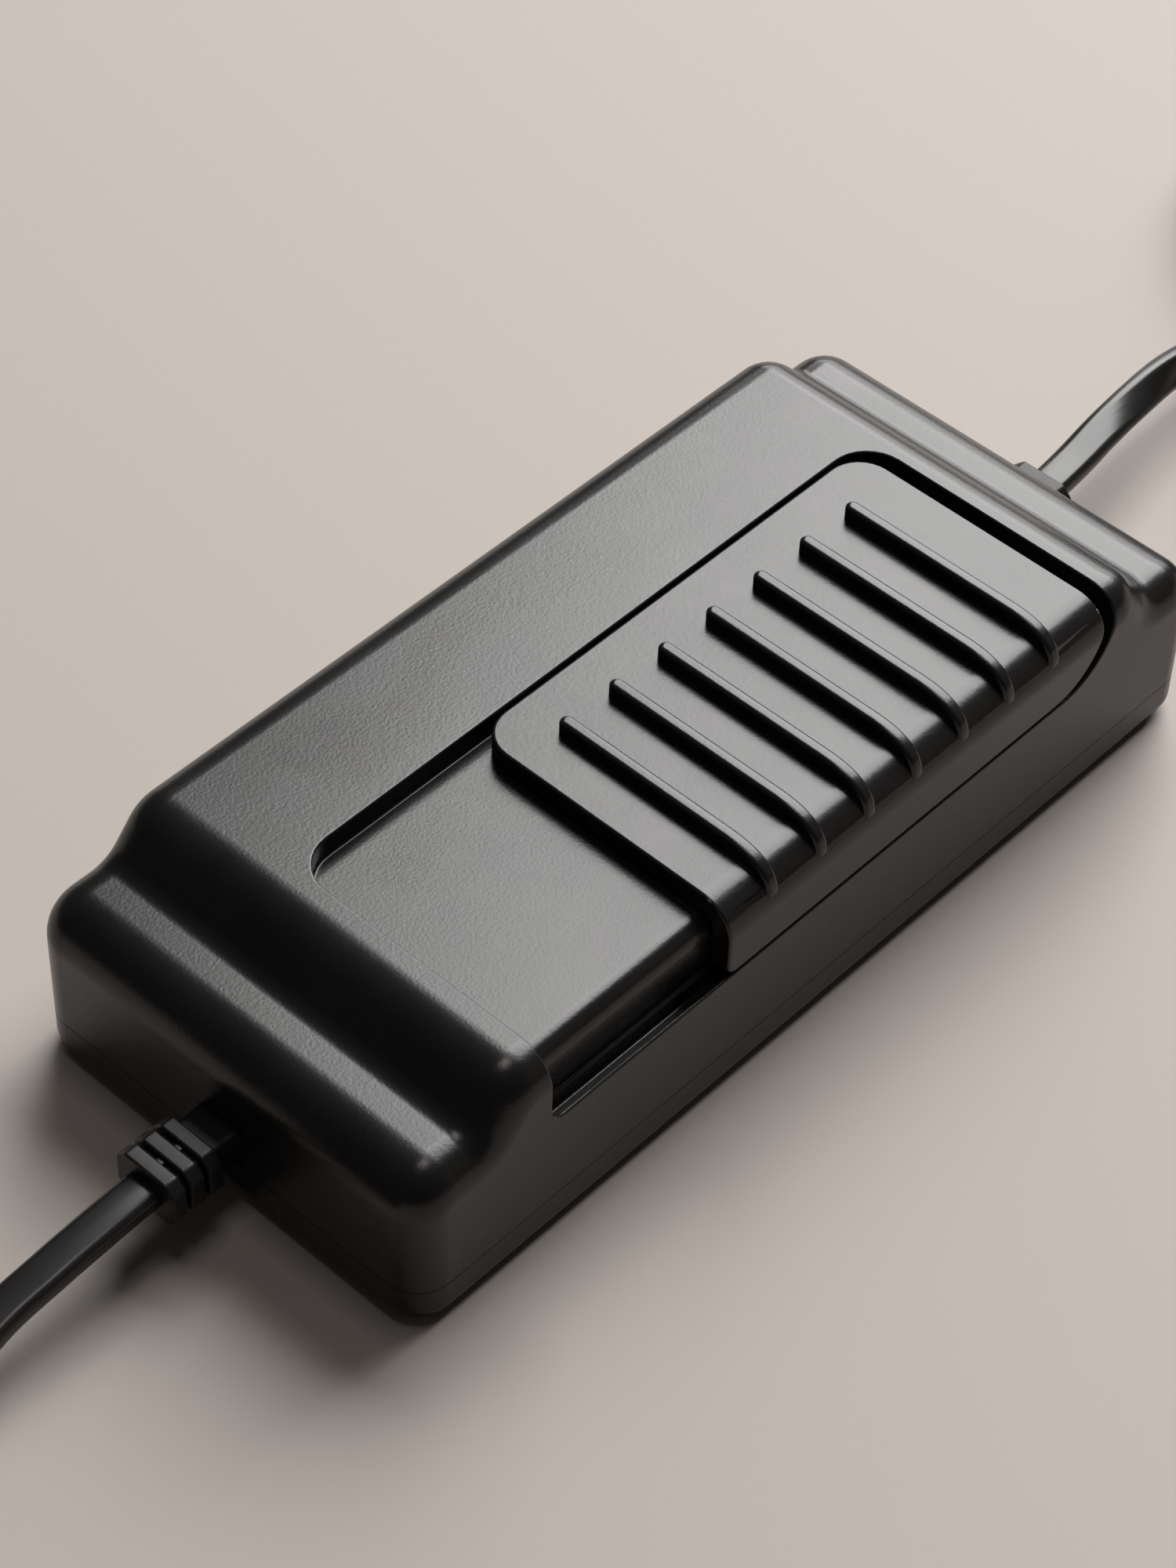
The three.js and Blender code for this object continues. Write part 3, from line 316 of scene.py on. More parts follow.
MAINS_ROUTE = [(-80.9, 0, 10.2), (-82, 0, 10.2), (-88, 0, 9.8), (-96, 0, 9), (-105, -0.2, 7.8),
               (-115.2, -2.3, 5.9), (-121, -5.4, 4.9), (-125.4, -9.2, 4.2), (-132, -15.8, 3.85)]
LAMP_ROUTE = [(78.3, 0, 10.2), (79.4, 0.1, 10.2), (86, 0.6, 10.4), (93, 1.3, 10.9), (101, 2.1, 10.8),
              (109, 2.9, 10), (117, 3.1, 8.7), (124, 3.7, 7.1), (130.3, 5.3, 5.7), (137, 9.2, 4.5),
              (143.6, 15.8, 3.9)]
TAIL_ARC = [(-18, -25.6, 14.6), (-24.6, -18.2, 14.7), (-27.6, -9.5, 14.9), (-27.6, -1, 15.2),
            (-25.1, 7.3, 15.8), (-20.6, 13.9, 16.6), (-14.6, 18.6, 17.7), (-7.6, 21.3, 18.7),
            (0.8, 22, 19.1)]


def middle(node):
    """The middle of a CAD node's box, in millimetres."""
    low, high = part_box(node)
    return (low + high) / 2 / MM


MAINS_COIL = middle("mains_coil")
LAMP_COIL = middle("lamp_coil")


def smooth(t):
    """0 below 0, 1 above 1, and an easy curve between."""
    t = min(max(t, 0), 1)
    return t * t * (3 - 2 * t)


def spline(points, gap=1.6):
    """A smooth line through the points, with a new point every gap or so."""
    line = []
    ends = [2 * points[0] - points[1], *points, 2 * points[-1] - points[-2]]
    for before, a, b, after in zip(ends, ends[1:], ends[2:], ends[3:]):
        steps = max(1, round((b - a).length / gap))
        for i in range(steps):
            t = i / steps
            line.append(0.5 * (2 * a + (b - before) * t + (2 * before - 5 * a + 4 * b - after) * t ** 2
                               + (3 * a - before - 3 * b + after) * t ** 3))
    return [*line, points[-1]]


# %% [markdown]
# A wound coil is a list of slots, each a radius and a height. A turn stays in its slot for most of
# the way round, and steps over to the next slot in the last part of it.

# %% The turns of a coil
def round_about(centre, radius, angle, height):
    """A point at a radius and an angle about a coil's upright axis."""
    return Vector((centre.x + radius * math.cos(angle), centre.y + radius * math.sin(angle), height))


def coil_turns(centre, first_angle, steps=60):
    """The lower layer from the outside in, then the upper layer back out, going clockwise."""
    slots = [(COIL_OUTER - COIL_PITCH * i, COIL_LOW) for i in range(COIL_TURNS)]
    slots += [(r, COIL_HIGH) for r, _ in reversed(slots)]
    slots.append(slots[-1])
    turns = []
    for turn in range(2 * COIL_TURNS):
        (r0, z0), (r1, z1) = slots[turn], slots[turn + 1]
        for i in range(steps):
            part = i / steps
            moved = smooth((part - 1 + JOG) / JOG)
            angle = first_angle - 2 * math.pi * part
            turns.append(round_about(centre, r0 + (r1 - r0) * moved, angle, z0 + (z1 - z0) * moved))
    return turns


def lead_line(route, centre, first_angle, mirror, lift):
    """The line of a lead, in millimetres: its run to the coil, the coil, and the end on top of it."""
    run = spline([Vector(p) for p in route])
    coil = coil_turns(centre, first_angle)
    tail = [Vector((centre.x + mirror * x, centre.y + mirror * y, z + lift)) for x, y, z in TAIL_ARC]
    climb = []
    end = math.atan2(tail[0].y - centre.y, tail[0].x - centre.x)
    sweep = (first_angle - end) % (2 * math.pi)
    tail_radius = (tail[0] - centre).to_2d().length
    for i in range(CLIMB_STEPS):
        part = i / CLIMB_STEPS
        radius = COIL_OUTER + (tail_radius - COIL_OUTER) * smooth(part)
        height = COIL_HIGH + (tail[0].z - COIL_HIGH) * smooth(part)
        climb.append(round_about(centre, radius, first_angle - sweep * part, height))
    return run, coil, climb + spline(tail)


# %% [markdown]
# A flat cord is swept by hand instead of with a curve's bevel, because it has to turn from flat to
# on edge at chosen places. At each point the section is laid out from the direction of travel, a
# level side vector and the turn wanted there.

# %% Sweeping the flat section
def flat_section(wide, thick, corner, steps=4):
    """A rectangle with round corners, as (across, up) points."""
    points = []
    for i, (sx, sy) in enumerate([(1, 1), (-1, 1), (-1, -1), (1, -1)]):
        for k in range(steps + 1):
            angle = math.pi / 2 * (i + k / steps)
            points.append((sx * (wide / 2 - corner) + corner * math.cos(angle),
                           sy * (thick / 2 - corner) + corner * math.sin(angle)))
    return points


def mesh_object(name, points, faces, smooth_faces=True):
    """A mesh from points in millimetres."""
    mesh = bpy.data.meshes.new(name)
    mesh.from_pydata([tuple(Vector(p) * MM) for p in points], [], faces)
    mesh.validate()
    mesh.polygons.foreach_set("use_smooth", [smooth_faces] * len(mesh.polygons))
    made = bpy.data.objects.new(name, mesh)
    bpy.context.scene.collection.objects.link(made)
    return made


def ring_faces(rings, size):
    """Quads between rings of points, which go round, with a cap at each end."""
    faces = [tuple(range(size))[::-1], tuple((rings - 1) * size + i for i in range(size))]
    for ring in range(rings - 1):
        for i in range(size):
            j = (i + 1) % size
            low = ring * size
            faces.append((low + i, low + j, low + size + j, low + size + i))
    return faces


def sweep_flex(name, line, turns):
    """A mesh of the flat section carried along a line; a turn of 1 stands it on edge."""
    section = flat_section(CORD_WIDE, CORD_THICK, CORD_CORNER)
    points = []
    for i, (here, turn) in enumerate(zip(line, turns)):
        ahead = (line[min(i + 1, len(line) - 1)] - line[max(i - 1, 0)]).normalized()
        side = Vector((0, 0, 1)).cross(ahead).normalized()
        up = ahead.cross(side)
        angle = turn * math.pi / 2
        across = side * math.cos(angle) + up * math.sin(angle)
        over = up * math.cos(angle) - side * math.sin(angle)
        points += [here + across * u + over * v for u, v in section]
    return mesh_object(name, points, ring_faces(len(line), len(section)))


def make_lead(name, route, centre, first_angle, mirror, lift, on_edge_from, on_edge_to):
    """One lead, which turns on edge between two distances from the middle of the housing."""
    run, coil, tail = lead_line(route, centre, first_angle, mirror, lift)
    line = run + coil + tail
    turns = [smooth((abs(p.x) - on_edge_from) / (on_edge_to - on_edge_from)) for p in run]
    turns += [1.0] * len(coil)
    turns += [1 - smooth((i / len(tail) - TAIL_TURN[0]) / TAIL_TURN[1]) for i in range(len(tail))]
    piece = sweep_flex(name, line, turns)
    length = sum((b - a).length for a, b in zip(line, line[1:])) * MM
    print(name, "is", round(length, 3), "m long")
    return piece, [p * MM for p in line], length


mains_flex, mains_line, mains_length = make_lead(
    "mains_flex", MAINS_ROUTE, MAINS_COIL, -math.pi / 4, 1, 0, 104, 134)
lamp_flex, lamp_line, lamp_length = make_lead(
    "lamp_flex", LAMP_ROUTE, LAMP_COIL, math.pi * 3 / 4, -1, 0.9, 80, 128)
for flex in (mains_flex, lamp_flex):
    flex.data.materials.append(SHEATH_BLACK)

# %% [markdown]
# ## Solid shapes
# Most of this object is made the way a mould maker would cut it: an outline is pushed along an
# axis, other outlines are cut out of it, and the sharp edges are then softened a little. `prism`
# pushes an outline, `combine` joins or cuts, and `soften` rounds every edge sharper than a limit
# and evens out the shading, so that flat faces stay flat beside the rounded edges.

# %% Outlines and prisms
def arc(x, y, radius, start, end, steps=8):
    """Points on an arc, with its angles in degrees."""
    angles = [math.radians(start + (end - start) * i / steps) for i in range(steps + 1)]
    return [(x + radius * math.cos(a), y + radius * math.sin(a)) for a in angles]


def rounded_box(u0, u1, v0, v1, radii, steps=8):
    """A rectangle whose corners have their own radii, from the low left one anticlockwise."""
    low_left, low_right, high_right, high_left = radii
    return [*arc(u0 + low_left, v0 + low_left, low_left, 180, 270, steps),
            *arc(u1 - low_right, v0 + low_right, low_right, 270, 360, steps),
            *arc(u1 - high_right, v1 - high_right, high_right, 0, 90, steps),
            *arc(u0 + high_left, v1 - high_left, high_left, 90, 180, steps)]


def tidy_outline(outline):
    """The outline without points that repeat the one before."""
    return [p for p, q in zip(outline, [outline[-1], *outline]) if math.dist(p, q) > 1e-4]


TO_SPACE = {
    "X": lambda u, v, w: (w, u, v),
    "Y": lambda u, v, w: (u, w, v),
    "Z": lambda u, v, w: (u, v, w),
}


def prism(axis, outline, low, high):
    """An outline pushed along an axis. It is drawn in (Y, Z) for X, (X, Z) for Y and (X, Y) for Z."""
    flat = tidy_outline(outline)
    place = TO_SPACE[axis]
    points = [place(u, v, w) for w in (low, high) for u, v in flat]
    return fix_normals(mesh_object("prism", points, ring_faces(2, len(flat)), smooth_faces=False))


def fix_normals(piece):
    """Turns every face of a closed mesh outwards."""
    work = bmesh.new()
    work.from_mesh(piece.data)
    bmesh.ops.recalc_face_normals(work, faces=work.faces)
    work.to_mesh(piece.data)
    work.free()
    return piece


def block(x0, x1, y0, y1, z0, z1):
    return prism("Z", [(x0, y0), (x1, y0), (x1, y1), (x0, y1)], z0, z1)


def post(x, y, radius, z0, z1, steps=24):
    return prism("Z", arc(x, y, radius, 0, 360, steps)[:-1], z0, z1)


# %% [markdown]
# Cuts are exact, and each is worked out at once, so that the next one starts from a plain mesh.

# %% Joining, cutting and softening
def apply_modifiers(piece):
    view = bpy.context.evaluated_depsgraph_get()
    final = bpy.data.meshes.new_from_object(piece.evaluated_get(view))
    piece.modifiers.clear()
    piece.data = final
    return piece


def combine(base, operation, *tools):
    """Joins the tools to base, cuts them from it, or keeps what they share. The tools are used up."""
    for tool in tools:
        step = base.modifiers.new("combine", "BOOLEAN")
        step.operation = operation
        step.solver = "EXACT"
        step.object = tool
        apply_modifiers(base)
        bpy.data.objects.remove(tool)
    return base


def soften(piece, width, segments=3, limit=35):
    """Rounds the edges sharper than limit degrees by width, and shades flat faces as flat."""
    if width:
        edge = piece.modifiers.new("edge", "BEVEL")
        edge.width = width * MM
        edge.segments = segments
        edge.limit_method = "ANGLE"
        edge.angle_limit = math.radians(limit)
        edge.use_clamp_overlap = False
        edge.miter_outer = "MITER_ARC"
        apply_modifiers(piece)
    piece.data.polygons.foreach_set("use_smooth", [True] * len(piece.data.polygons))
    piece.data.set_sharp_from_angle(angle=math.radians(limit))
    shade = piece.modifiers.new("shade", "WEIGHTED_NORMAL")
    shade.keep_sharp = True
    return piece


def finish_piece(piece, name, paint, body, slot, *nodes):
    """Names a piece, paints it, and puts it in place of its CAD nodes."""
    piece.name = name
    piece.data.name = name
    piece.data.materials.clear()
    piece.data.materials.append(paint)
    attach(piece, body)
    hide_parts(*nodes)
    print(name, "has", len(piece.data.polygons), "faces")
    return piece


# %% [markdown]
# ## The housing
# The top cover is one hull with the same rounding along every outer edge. Its side outline goes
# up from a low shelf at each end, over an S-shaped ramp, to the raised middle. The hull is laid
# out as a row of these outlines, each inset a little more towards the front and back faces, as
# a rounded edge needs. An outline of arcs can be inset exactly: an outward arc loses the inset
# from its radius and an inward arc gains it.

# %% Sizes of the housing
cover_low, cover_high = (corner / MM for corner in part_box("top_cover"))
END, FRONT, BACK, TOP = cover_high.x, cover_low.y, cover_high.y, cover_high.z
PART = cover_low.z
EDGE, END_EDGE = 5.0, 6.2
SHELF = TOP - 6.1
RAMP, RAMP_FOOT = 49, 3.5
NEAR_CREST, NEAR_CREST_ROUND = -END + 19.1, 7.0
FAR_CREST, FAR_CREST_ROUND = END - 17.6, 5.6
WALL, ROOF, PART_GAP = 2.4, 2.2, 0.08
RIM_ROUND = 0.32
RECESS_X0, RECESS_X1 = -END + 21.2, END - 18.8
RECESS_DEPTH, RECESS_CORNER, RECESS_NEAR_LOW, RECESS_FAR_LOW = 3.1, 5.5, 2.0, 9.5
RECESS_BACK, RECESS_EDGE, LEDGE = FRONT + 41, 2.6, TOP - 11
RECESS_FLOOR = TOP - RECESS_DEPTH
RECESS_UNDER = RECESS_FLOOR - 2
GROOVE_WIDE, GROOVE_DEEP, GROOVE_INSET = 2.0, 2.2, 0.55
GROOVE_NEAR, GROOVE_FAR = 0.1, 0.8
SLOT_HALF_LONG, SLOT_HALF_WIDE = 18.5, 7


def ramp_run(crest):
    """How far a ramp's foot starts from its crest, along X."""
    slope = math.radians(RAMP)
    turns = (crest + RAMP_FOOT) * math.sin(slope)
    return turns + (TOP - SHELF - (crest + RAMP_FOOT) * (1 - math.cos(slope))) / math.tan(slope)


NEAR_FOOT = NEAR_CREST - ramp_run(NEAR_CREST_ROUND)
FAR_FOOT = FAR_CREST + ramp_run(FAR_CREST_ROUND)


def side_outline(inset, bottom, steps=12):
    """The housing seen from the side, inset by some millimetres, from the near foot to the far one."""
    end, foot = END_EDGE - inset, RAMP_FOOT + inset
    near, far = NEAR_CREST_ROUND, FAR_CREST_ROUND
    return [(-END + inset, bottom),
            *arc(-END + END_EDGE, SHELF - END_EDGE, end, 180, 90, steps),
            *arc(NEAR_FOOT, SHELF + RAMP_FOOT, foot, -90, RAMP - 90, steps),
            *arc(NEAR_CREST, TOP - near, near - inset, 90 + RAMP, 90, steps),
            *arc(FAR_CREST, TOP - far, far - inset, 90, 90 - RAMP, steps),
            *arc(FAR_FOOT, SHELF + RAMP_FOOT, foot, 270 - RAMP, 270, steps),
            *arc(END - END_EDGE, SHELF - END_EDGE, end, 90, 0, steps),
            (END - inset, bottom)]


def rounded_hull(bottom, steps=10):
    """The outer skin of the cover, closed underneath."""
    rows = []
    for i in range(steps + 1):
        turn = math.pi / 2 * i / steps
        rows.append((EDGE * (1 - math.sin(turn)), EDGE * (1 - math.cos(turn))))
    layout = [(inset, FRONT + y) for inset, y in rows] + [(inset, BACK - y) for inset, y in reversed(rows)]
    outlines = [side_outline(inset, bottom) for inset, _ in layout]
    points = [(x, y, z) for outline, (_, y) in zip(outlines, layout) for x, z in outline]
    return fix_normals(mesh_object("hull", points, ring_faces(len(layout), len(outlines[0]))))


# %% [markdown]
# The recess runs over the top and round the front edge down to a ledge, so its cutting tool is a
# bent section pushed along X, kept inside a plan outline and a side outline that round its
# corners. A guide groove lies in the ledge, and a slot in the recess floor lets the pedal reach
# the potentiometer inside.

# %% Cutting the recess
def recess_tool():
    section = [(RECESS_BACK, TOP + 1), (RECESS_BACK, RECESS_FLOOR),
               *arc(FRONT + RECESS_DEPTH + RECESS_EDGE, RECESS_FLOOR - RECESS_EDGE, RECESS_EDGE, 90, 180, 8),
               (FRONT + RECESS_DEPTH, LEDGE), (FRONT - 1, LEDGE), (FRONT - 1, TOP + 1)]
    plan = rounded_box(RECESS_X0, RECESS_X1, FRONT - 11, RECESS_BACK, (1, 1, RECESS_CORNER, RECESS_CORNER))
    side = rounded_box(RECESS_X0, RECESS_X1, LEDGE, TOP + 2, (RECESS_NEAR_LOW, RECESS_FAR_LOW, 1, 1), 12)
    return combine(prism("X", section, RECESS_X0 - 1, RECESS_X1 + 1), "INTERSECT",
                   prism("Z", plan, LEDGE - 2, TOP + 2), prism("Y", side, FRONT - 2, RECESS_BACK + 2))


def guide_groove():
    start = FRONT + GROOVE_INSET
    far = RECESS_X1 - RECESS_FAR_LOW - GROOVE_FAR
    outline = rounded_box(RECESS_X0 + GROOVE_NEAR, far, start, start + GROOVE_WIDE,
                          [GROOVE_WIDE / 2 - 0.05] * 4, 8)
    return prism("Z", outline, LEDGE - GROOVE_DEEP, LEDGE + 1.5)


def cord_mouth(end, extra=0.1):
    """The hole in an end wall that the strain relief's neck fills."""
    half, high = NECK_WIDE / 2 + extra, NECK_HIGH / 2 + extra
    outline = rounded_box(-half, half, CORD_AXIS - high, CORD_AXIS + high, [NECK_CORNER + extra] * 4, 5)
    return prism("X", outline, *sorted((end * (END - 8), end * (END + 3))))


def cover_hollow():
    """The inside of the cover, as blocks under the shelves and under the raised middle."""
    inside_end, inside_back = END - WALL, BACK - WALL
    shelf_end = inside_end - END_EDGE / 4
    recess_wall = FRONT + RECESS_DEPTH + 2.2
    near, far = NEAR_CREST + 1, FAR_CREST - 1
    return [block(-inside_end, inside_end, FRONT + WALL, inside_back, PART - 3, LEDGE - 4.2),
            block(-shelf_end, shelf_end, recess_wall, inside_back - 0.01, PART, SHELF - ROOF),
            block(near, far, recess_wall + 0.01, inside_back - 0.02, PART + 0.5, RECESS_UNDER),
            block(near + 0.01, far - 0.01, RECESS_BACK + WALL, inside_back - 0.03, PART + 0.6, TOP - ROOF)]


def lever_slot():
    """The slot over the potentiometer, through which the pedal's boss reaches its lever."""
    pot = middle("pot_housing")
    return block(pot.x - SLOT_HALF_LONG, pot.x + SLOT_HALF_LONG, pot.y - SLOT_HALF_WIDE,
                 pot.y + SLOT_HALF_WIDE, RECESS_UNDER - 1, RECESS_FLOOR + 1)


NECK_WIDE, NECK_HIGH, NECK_CORNER, CORD_AXIS = 7.2, 5.0, 1.2, 10.2
SEAM = PART - 0.2
cover = combine(rounded_hull(PART - 2), "DIFFERENCE", recess_tool(), guide_groove())
soften(cover, RIM_ROUND)
apply_modifiers(cover)
combine(cover, "DIFFERENCE", *cover_hollow(), lever_slot(), cord_mouth(-1), cord_mouth(1),
        block(-END - 1, END + 1, FRONT - 1, BACK + 1, PART - 4, PART - PART_GAP))
soften(cover, 0)
finish_piece(cover, "cover_shell", HOUSING_BLACK, "housing", "housing_plastic", "top_cover")
bpy.context.view_layer.update()

# %% [markdown]
# The tray is the lower shell. It closes the housing from below, with a fine seam between the two,
# and carries four rubber feet, so that the plastic itself never touches the floor.

# %% Tray and feet
TRAY_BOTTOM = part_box("base_tray")[0].z / MM
TRAY_EDGE, TRAY_FLOOR, TRAY_WALL = 2.2, TRAY_BOTTOM + 2.2, 2.7
PILLAR, PILLAR_TOP, SCREW_HEAD_HOLE, SCREW_HOLE, HEAD_DEEP = 4.2, 8.6, 3.1, 1.7, 2.2
FOOT_HOLE = 5.3


def plan_outline(inset, steps=8):
    """The housing seen from above, inset by some millimetres."""
    radius = EDGE - inset
    return rounded_box(-END + inset, END - inset, FRONT + inset, BACK - inset, [radius] * 4, steps)


def tray_skin(steps=6):
    """The outside of the tray, with a rounded bottom edge, as a row of plan outlines."""
    rows = []
    for i in range(steps + 1):
        turn = math.pi / 2 * i / steps
        rows.append((TRAY_EDGE * (1 - math.sin(turn)), TRAY_BOTTOM + TRAY_EDGE * (1 - math.cos(turn))))
    rows.append((0, SEAM + 2))
    outlines = [plan_outline(inset) for inset, _ in rows]
    points = [(x, y, z) for outline, (_, z) in zip(outlines, rows) for x, y in outline]
    return fix_normals(mesh_object("tray", points, ring_faces(len(rows), len(outlines[0]))))


def tray_piece():
    inside = rounded_box(-END + TRAY_WALL, END - TRAY_WALL, FRONT + TRAY_WALL, BACK - TRAY_WALL,
                         [2] * 4, 5)
    pocket = prism("Z", inside, TRAY_FLOOR, SEAM + 3)
    top = block(-END - 1, END + 1, FRONT - 1, BACK + 1, SEAM, SEAM + 4)
    skin = combine(apply_modifiers(soften(tray_skin(), 0)), "DIFFERENCE", pocket, top)
    for end in (-1, 1):
        wall = END - WALL / 2
        half_wide = NECK_WIDE / 2 - 0.3
        sill = block(end * wall - WALL / 2, end * wall + WALL / 2, -half_wide, half_wide,
                     SEAM - 1, CORD_AXIS - NECK_HIGH / 2 - 0.1)
        combine(skin, "UNION", sill)
    for i in range(4):
        screw = middle(f"housing_screw_{i + 1}")
        combine(skin, "UNION", post(screw.x, screw.y, PILLAR, TRAY_FLOOR - 1, PILLAR_TOP))
        head_top = TRAY_FLOOR + HEAD_DEEP
        combine(skin, "DIFFERENCE", post(screw.x, screw.y, SCREW_HEAD_HOLE, TRAY_BOTTOM - 1, head_top),
                post(screw.x, screw.y, SCREW_HOLE, TRAY_BOTTOM - 1, PILLAR_TOP + 1.4))
        foot = middle(f"rubber_foot_{i + 1}")
        combine(skin, "DIFFERENCE",
                post(foot.x, foot.y, FOOT_HOLE, TRAY_BOTTOM - 1, TRAY_BOTTOM + 1, 40))
    return skin


tray = soften(tray_piece(), 0)
finish_piece(tray, "tray_shell", TRAY_BLACK, "housing", "housing_plastic", "base_tray")


def turned(name, profile, centre, axis="Z", steps=40):
    """A profile of (radius, distance along) points turned about an axis through centre."""
    place = {"Z": lambda r, a, w: (r * math.cos(a), r * math.sin(a), w),
             "X": lambda r, a, w: (w, r * math.cos(a), r * math.sin(a))}[axis]
    points = []
    for radius, along in profile:
        for i in range(steps):
            points.append(Vector(place(radius, 2 * math.pi * i / steps, along)) + centre)
    return fix_normals(mesh_object(name, points, ring_faces(len(profile), steps)))


FOOT_PROFILE = [(4.2, 0), (4.65, 0.12), (4.9, 0.4), (5.0, 0.8), (5.0, 1.5)]
for i in range(4):
    node = f"rubber_foot_{i + 1}"
    place = middle(node)
    foot = turned("foot", FOOT_PROFILE, Vector((place.x, place.y, 0)))
    soften(foot, 0)
    finish_piece(foot, f"foot_pad_{i + 1}", FOOT_RUBBER, "housing", "foot_rubber", node)

# %% [markdown]
# ## The slide pedal
# The pedal is a bent plate, level with the housing's top and wrapped round its front edge. Seven
# ribs give the foot a hold. Each starts with a round end on top, bends over the front edge and
# fades into the side. Every edge of the plate and of the ribs is a little rounded before they
# are joined, as separate cuts in a mould are.

# %% Plate and ribs
pedal_low, pedal_high = (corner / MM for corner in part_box("slide_pedal"))
PEDAL_X0, PEDAL_X1, PEDAL_BACK = pedal_low.x, pedal_high.x, pedal_high.y
PEDAL_THICK, PEDAL_FOOT = 2.9, LEDGE + 0.25
RIBS, RIB_FIRST, RIB_PITCH, RIB_WIDTH = 7, 7.75, 8.55, 1.9
RIB_TOP, RIB_INNER = pedal_high.z, FRONT + 33.8
PLATE_ROUND, RIB_ROUND = 0.42, 0.6
BOSS_LONG, BOSS_WIDE, SOCKET_LONG, SOCKET_WIDE = 6, 13, 4.6, 1.8
TONGUE_INSET, TONGUE_THICK, TONGUE_DROP = 1, 1.1, 1.7


def pedal_plate():
    """A bent plate with round corners, from the back edge on top to the foot of the front side."""
    centre = (FRONT + EDGE, TOP - EDGE)
    section = [(PEDAL_BACK, TOP - PEDAL_THICK), (PEDAL_BACK, TOP), *arc(*centre, EDGE, 90, 180, 12),
               (FRONT, PEDAL_FOOT), (FRONT + PEDAL_THICK, PEDAL_FOOT),
               *arc(*centre, EDGE - PEDAL_THICK, 180, 90, 8)]
    plan = rounded_box(PEDAL_X0, PEDAL_X1, FRONT - 10, PEDAL_BACK, (1, 1, 5, 5))
    side = rounded_box(PEDAL_X0, PEDAL_X1, PEDAL_FOOT, TOP + 2, (1.5, 9, 1, 1), 12)
    return combine(prism("X", section, PEDAL_X0 - 1, PEDAL_X1 + 1), "INTERSECT",
                   prism("Z", plan, LEDGE - 2, TOP + 1), prism("Y", side, FRONT - 2, PEDAL_BACK + 2))


def bezier(a, b, c, steps):
    """Points on a quadratic curve from a to c that b pulls on."""
    return [tuple(p * (1 - t) ** 2 + 2 * q * t * (1 - t) + r * t * t for p, q, r in zip(a, b, c))
            for t in (i / steps for i in range(steps + 1))]


def rib(x):
    """One rib, from its round inner end over the front edge to where it fades into the side."""
    rib_foot = TOP - 3.4
    bend = bezier((FRONT + EDGE + 2.6, RIB_TOP), (FRONT + 0.2, RIB_TOP - 0.2), (FRONT + 0.3, rib_foot), 12)
    section = [(RIB_INNER, TOP - 1), (RIB_INNER, RIB_TOP), *bend,
               (FRONT + 1.6, rib_foot), (FRONT + EDGE, TOP - 1)]
    half = RIB_WIDTH / 2
    corners = (0.1, 0.1, half - 0.01, half - 0.01)
    plan = rounded_box(x - half, x + half, FRONT - 1, RIB_INNER, corners, 7)
    made = combine(prism("X", section, x - half - 1, x + half + 1), "INTERSECT",
                   prism("Z", plan, LEDGE, RIB_TOP + 1))
    return soften(made, RIB_ROUND, segments=4)


def slide_pedal():
    """The plate with its ribs, the boss that takes the lever, and the tongue that runs in the groove."""
    plate = soften(pedal_plate(), PLATE_ROUND, segments=3)
    apply_modifiers(plate)
    ribs = [apply_modifiers(rib(PEDAL_X0 + RIB_FIRST + i * RIB_PITCH)) for i in range(RIBS)]
    lever = middle("pot_lever")
    boss = block(lever.x - BOSS_LONG / 2, lever.x + BOSS_LONG / 2,
                 lever.y - BOSS_WIDE / 2, lever.y + BOSS_WIDE / 2,
                 RECESS_UNDER - 0.3, TOP - PEDAL_THICK + 0.5)
    socket = block(lever.x - SOCKET_LONG / 2, lever.x + SOCKET_LONG / 2,
                   lever.y - SOCKET_WIDE / 2, lever.y + SOCKET_WIDE / 2,
                   RECESS_UNDER - 2, TOP - 1.4)
    tongue_y = FRONT + TONGUE_INSET
    tongue = block(PEDAL_X0 + 1.2, PEDAL_X1 - 13, tongue_y, tongue_y + TONGUE_THICK,
                   LEDGE - TONGUE_DROP, LEDGE + 1)
    combine(plate, "UNION", *ribs, boss, tongue)
    return combine(plate, "DIFFERENCE", socket)


pedal = soften(slide_pedal(), 0, limit=40)
finish_piece(pedal, "pedal_shell", PEDAL_BLACK, "pedal", "pedal_plastic", "slide_pedal")

# %% [markdown]
# ## Strain reliefs
# A moulded sleeve grips each cord where it leaves the housing. Outside the wall it is cut into
# plates, so that it bends with the cord. The plates hang together along a thin web in the middle
# of the top and the bottom.

# %% Sleeves with plates
RELIEF_WIDE, RELIEF_HIGH, PLATE, PLATE_PITCH, PLATE_START = 9.6, 7.0, 2.1, 2.75, 3.9
PLATE_CORNER, PLATE_ROUND_OFF, WEB_WIDE, FLANGE_WIDE = 1.5, 0.35, 1.3, 9.4


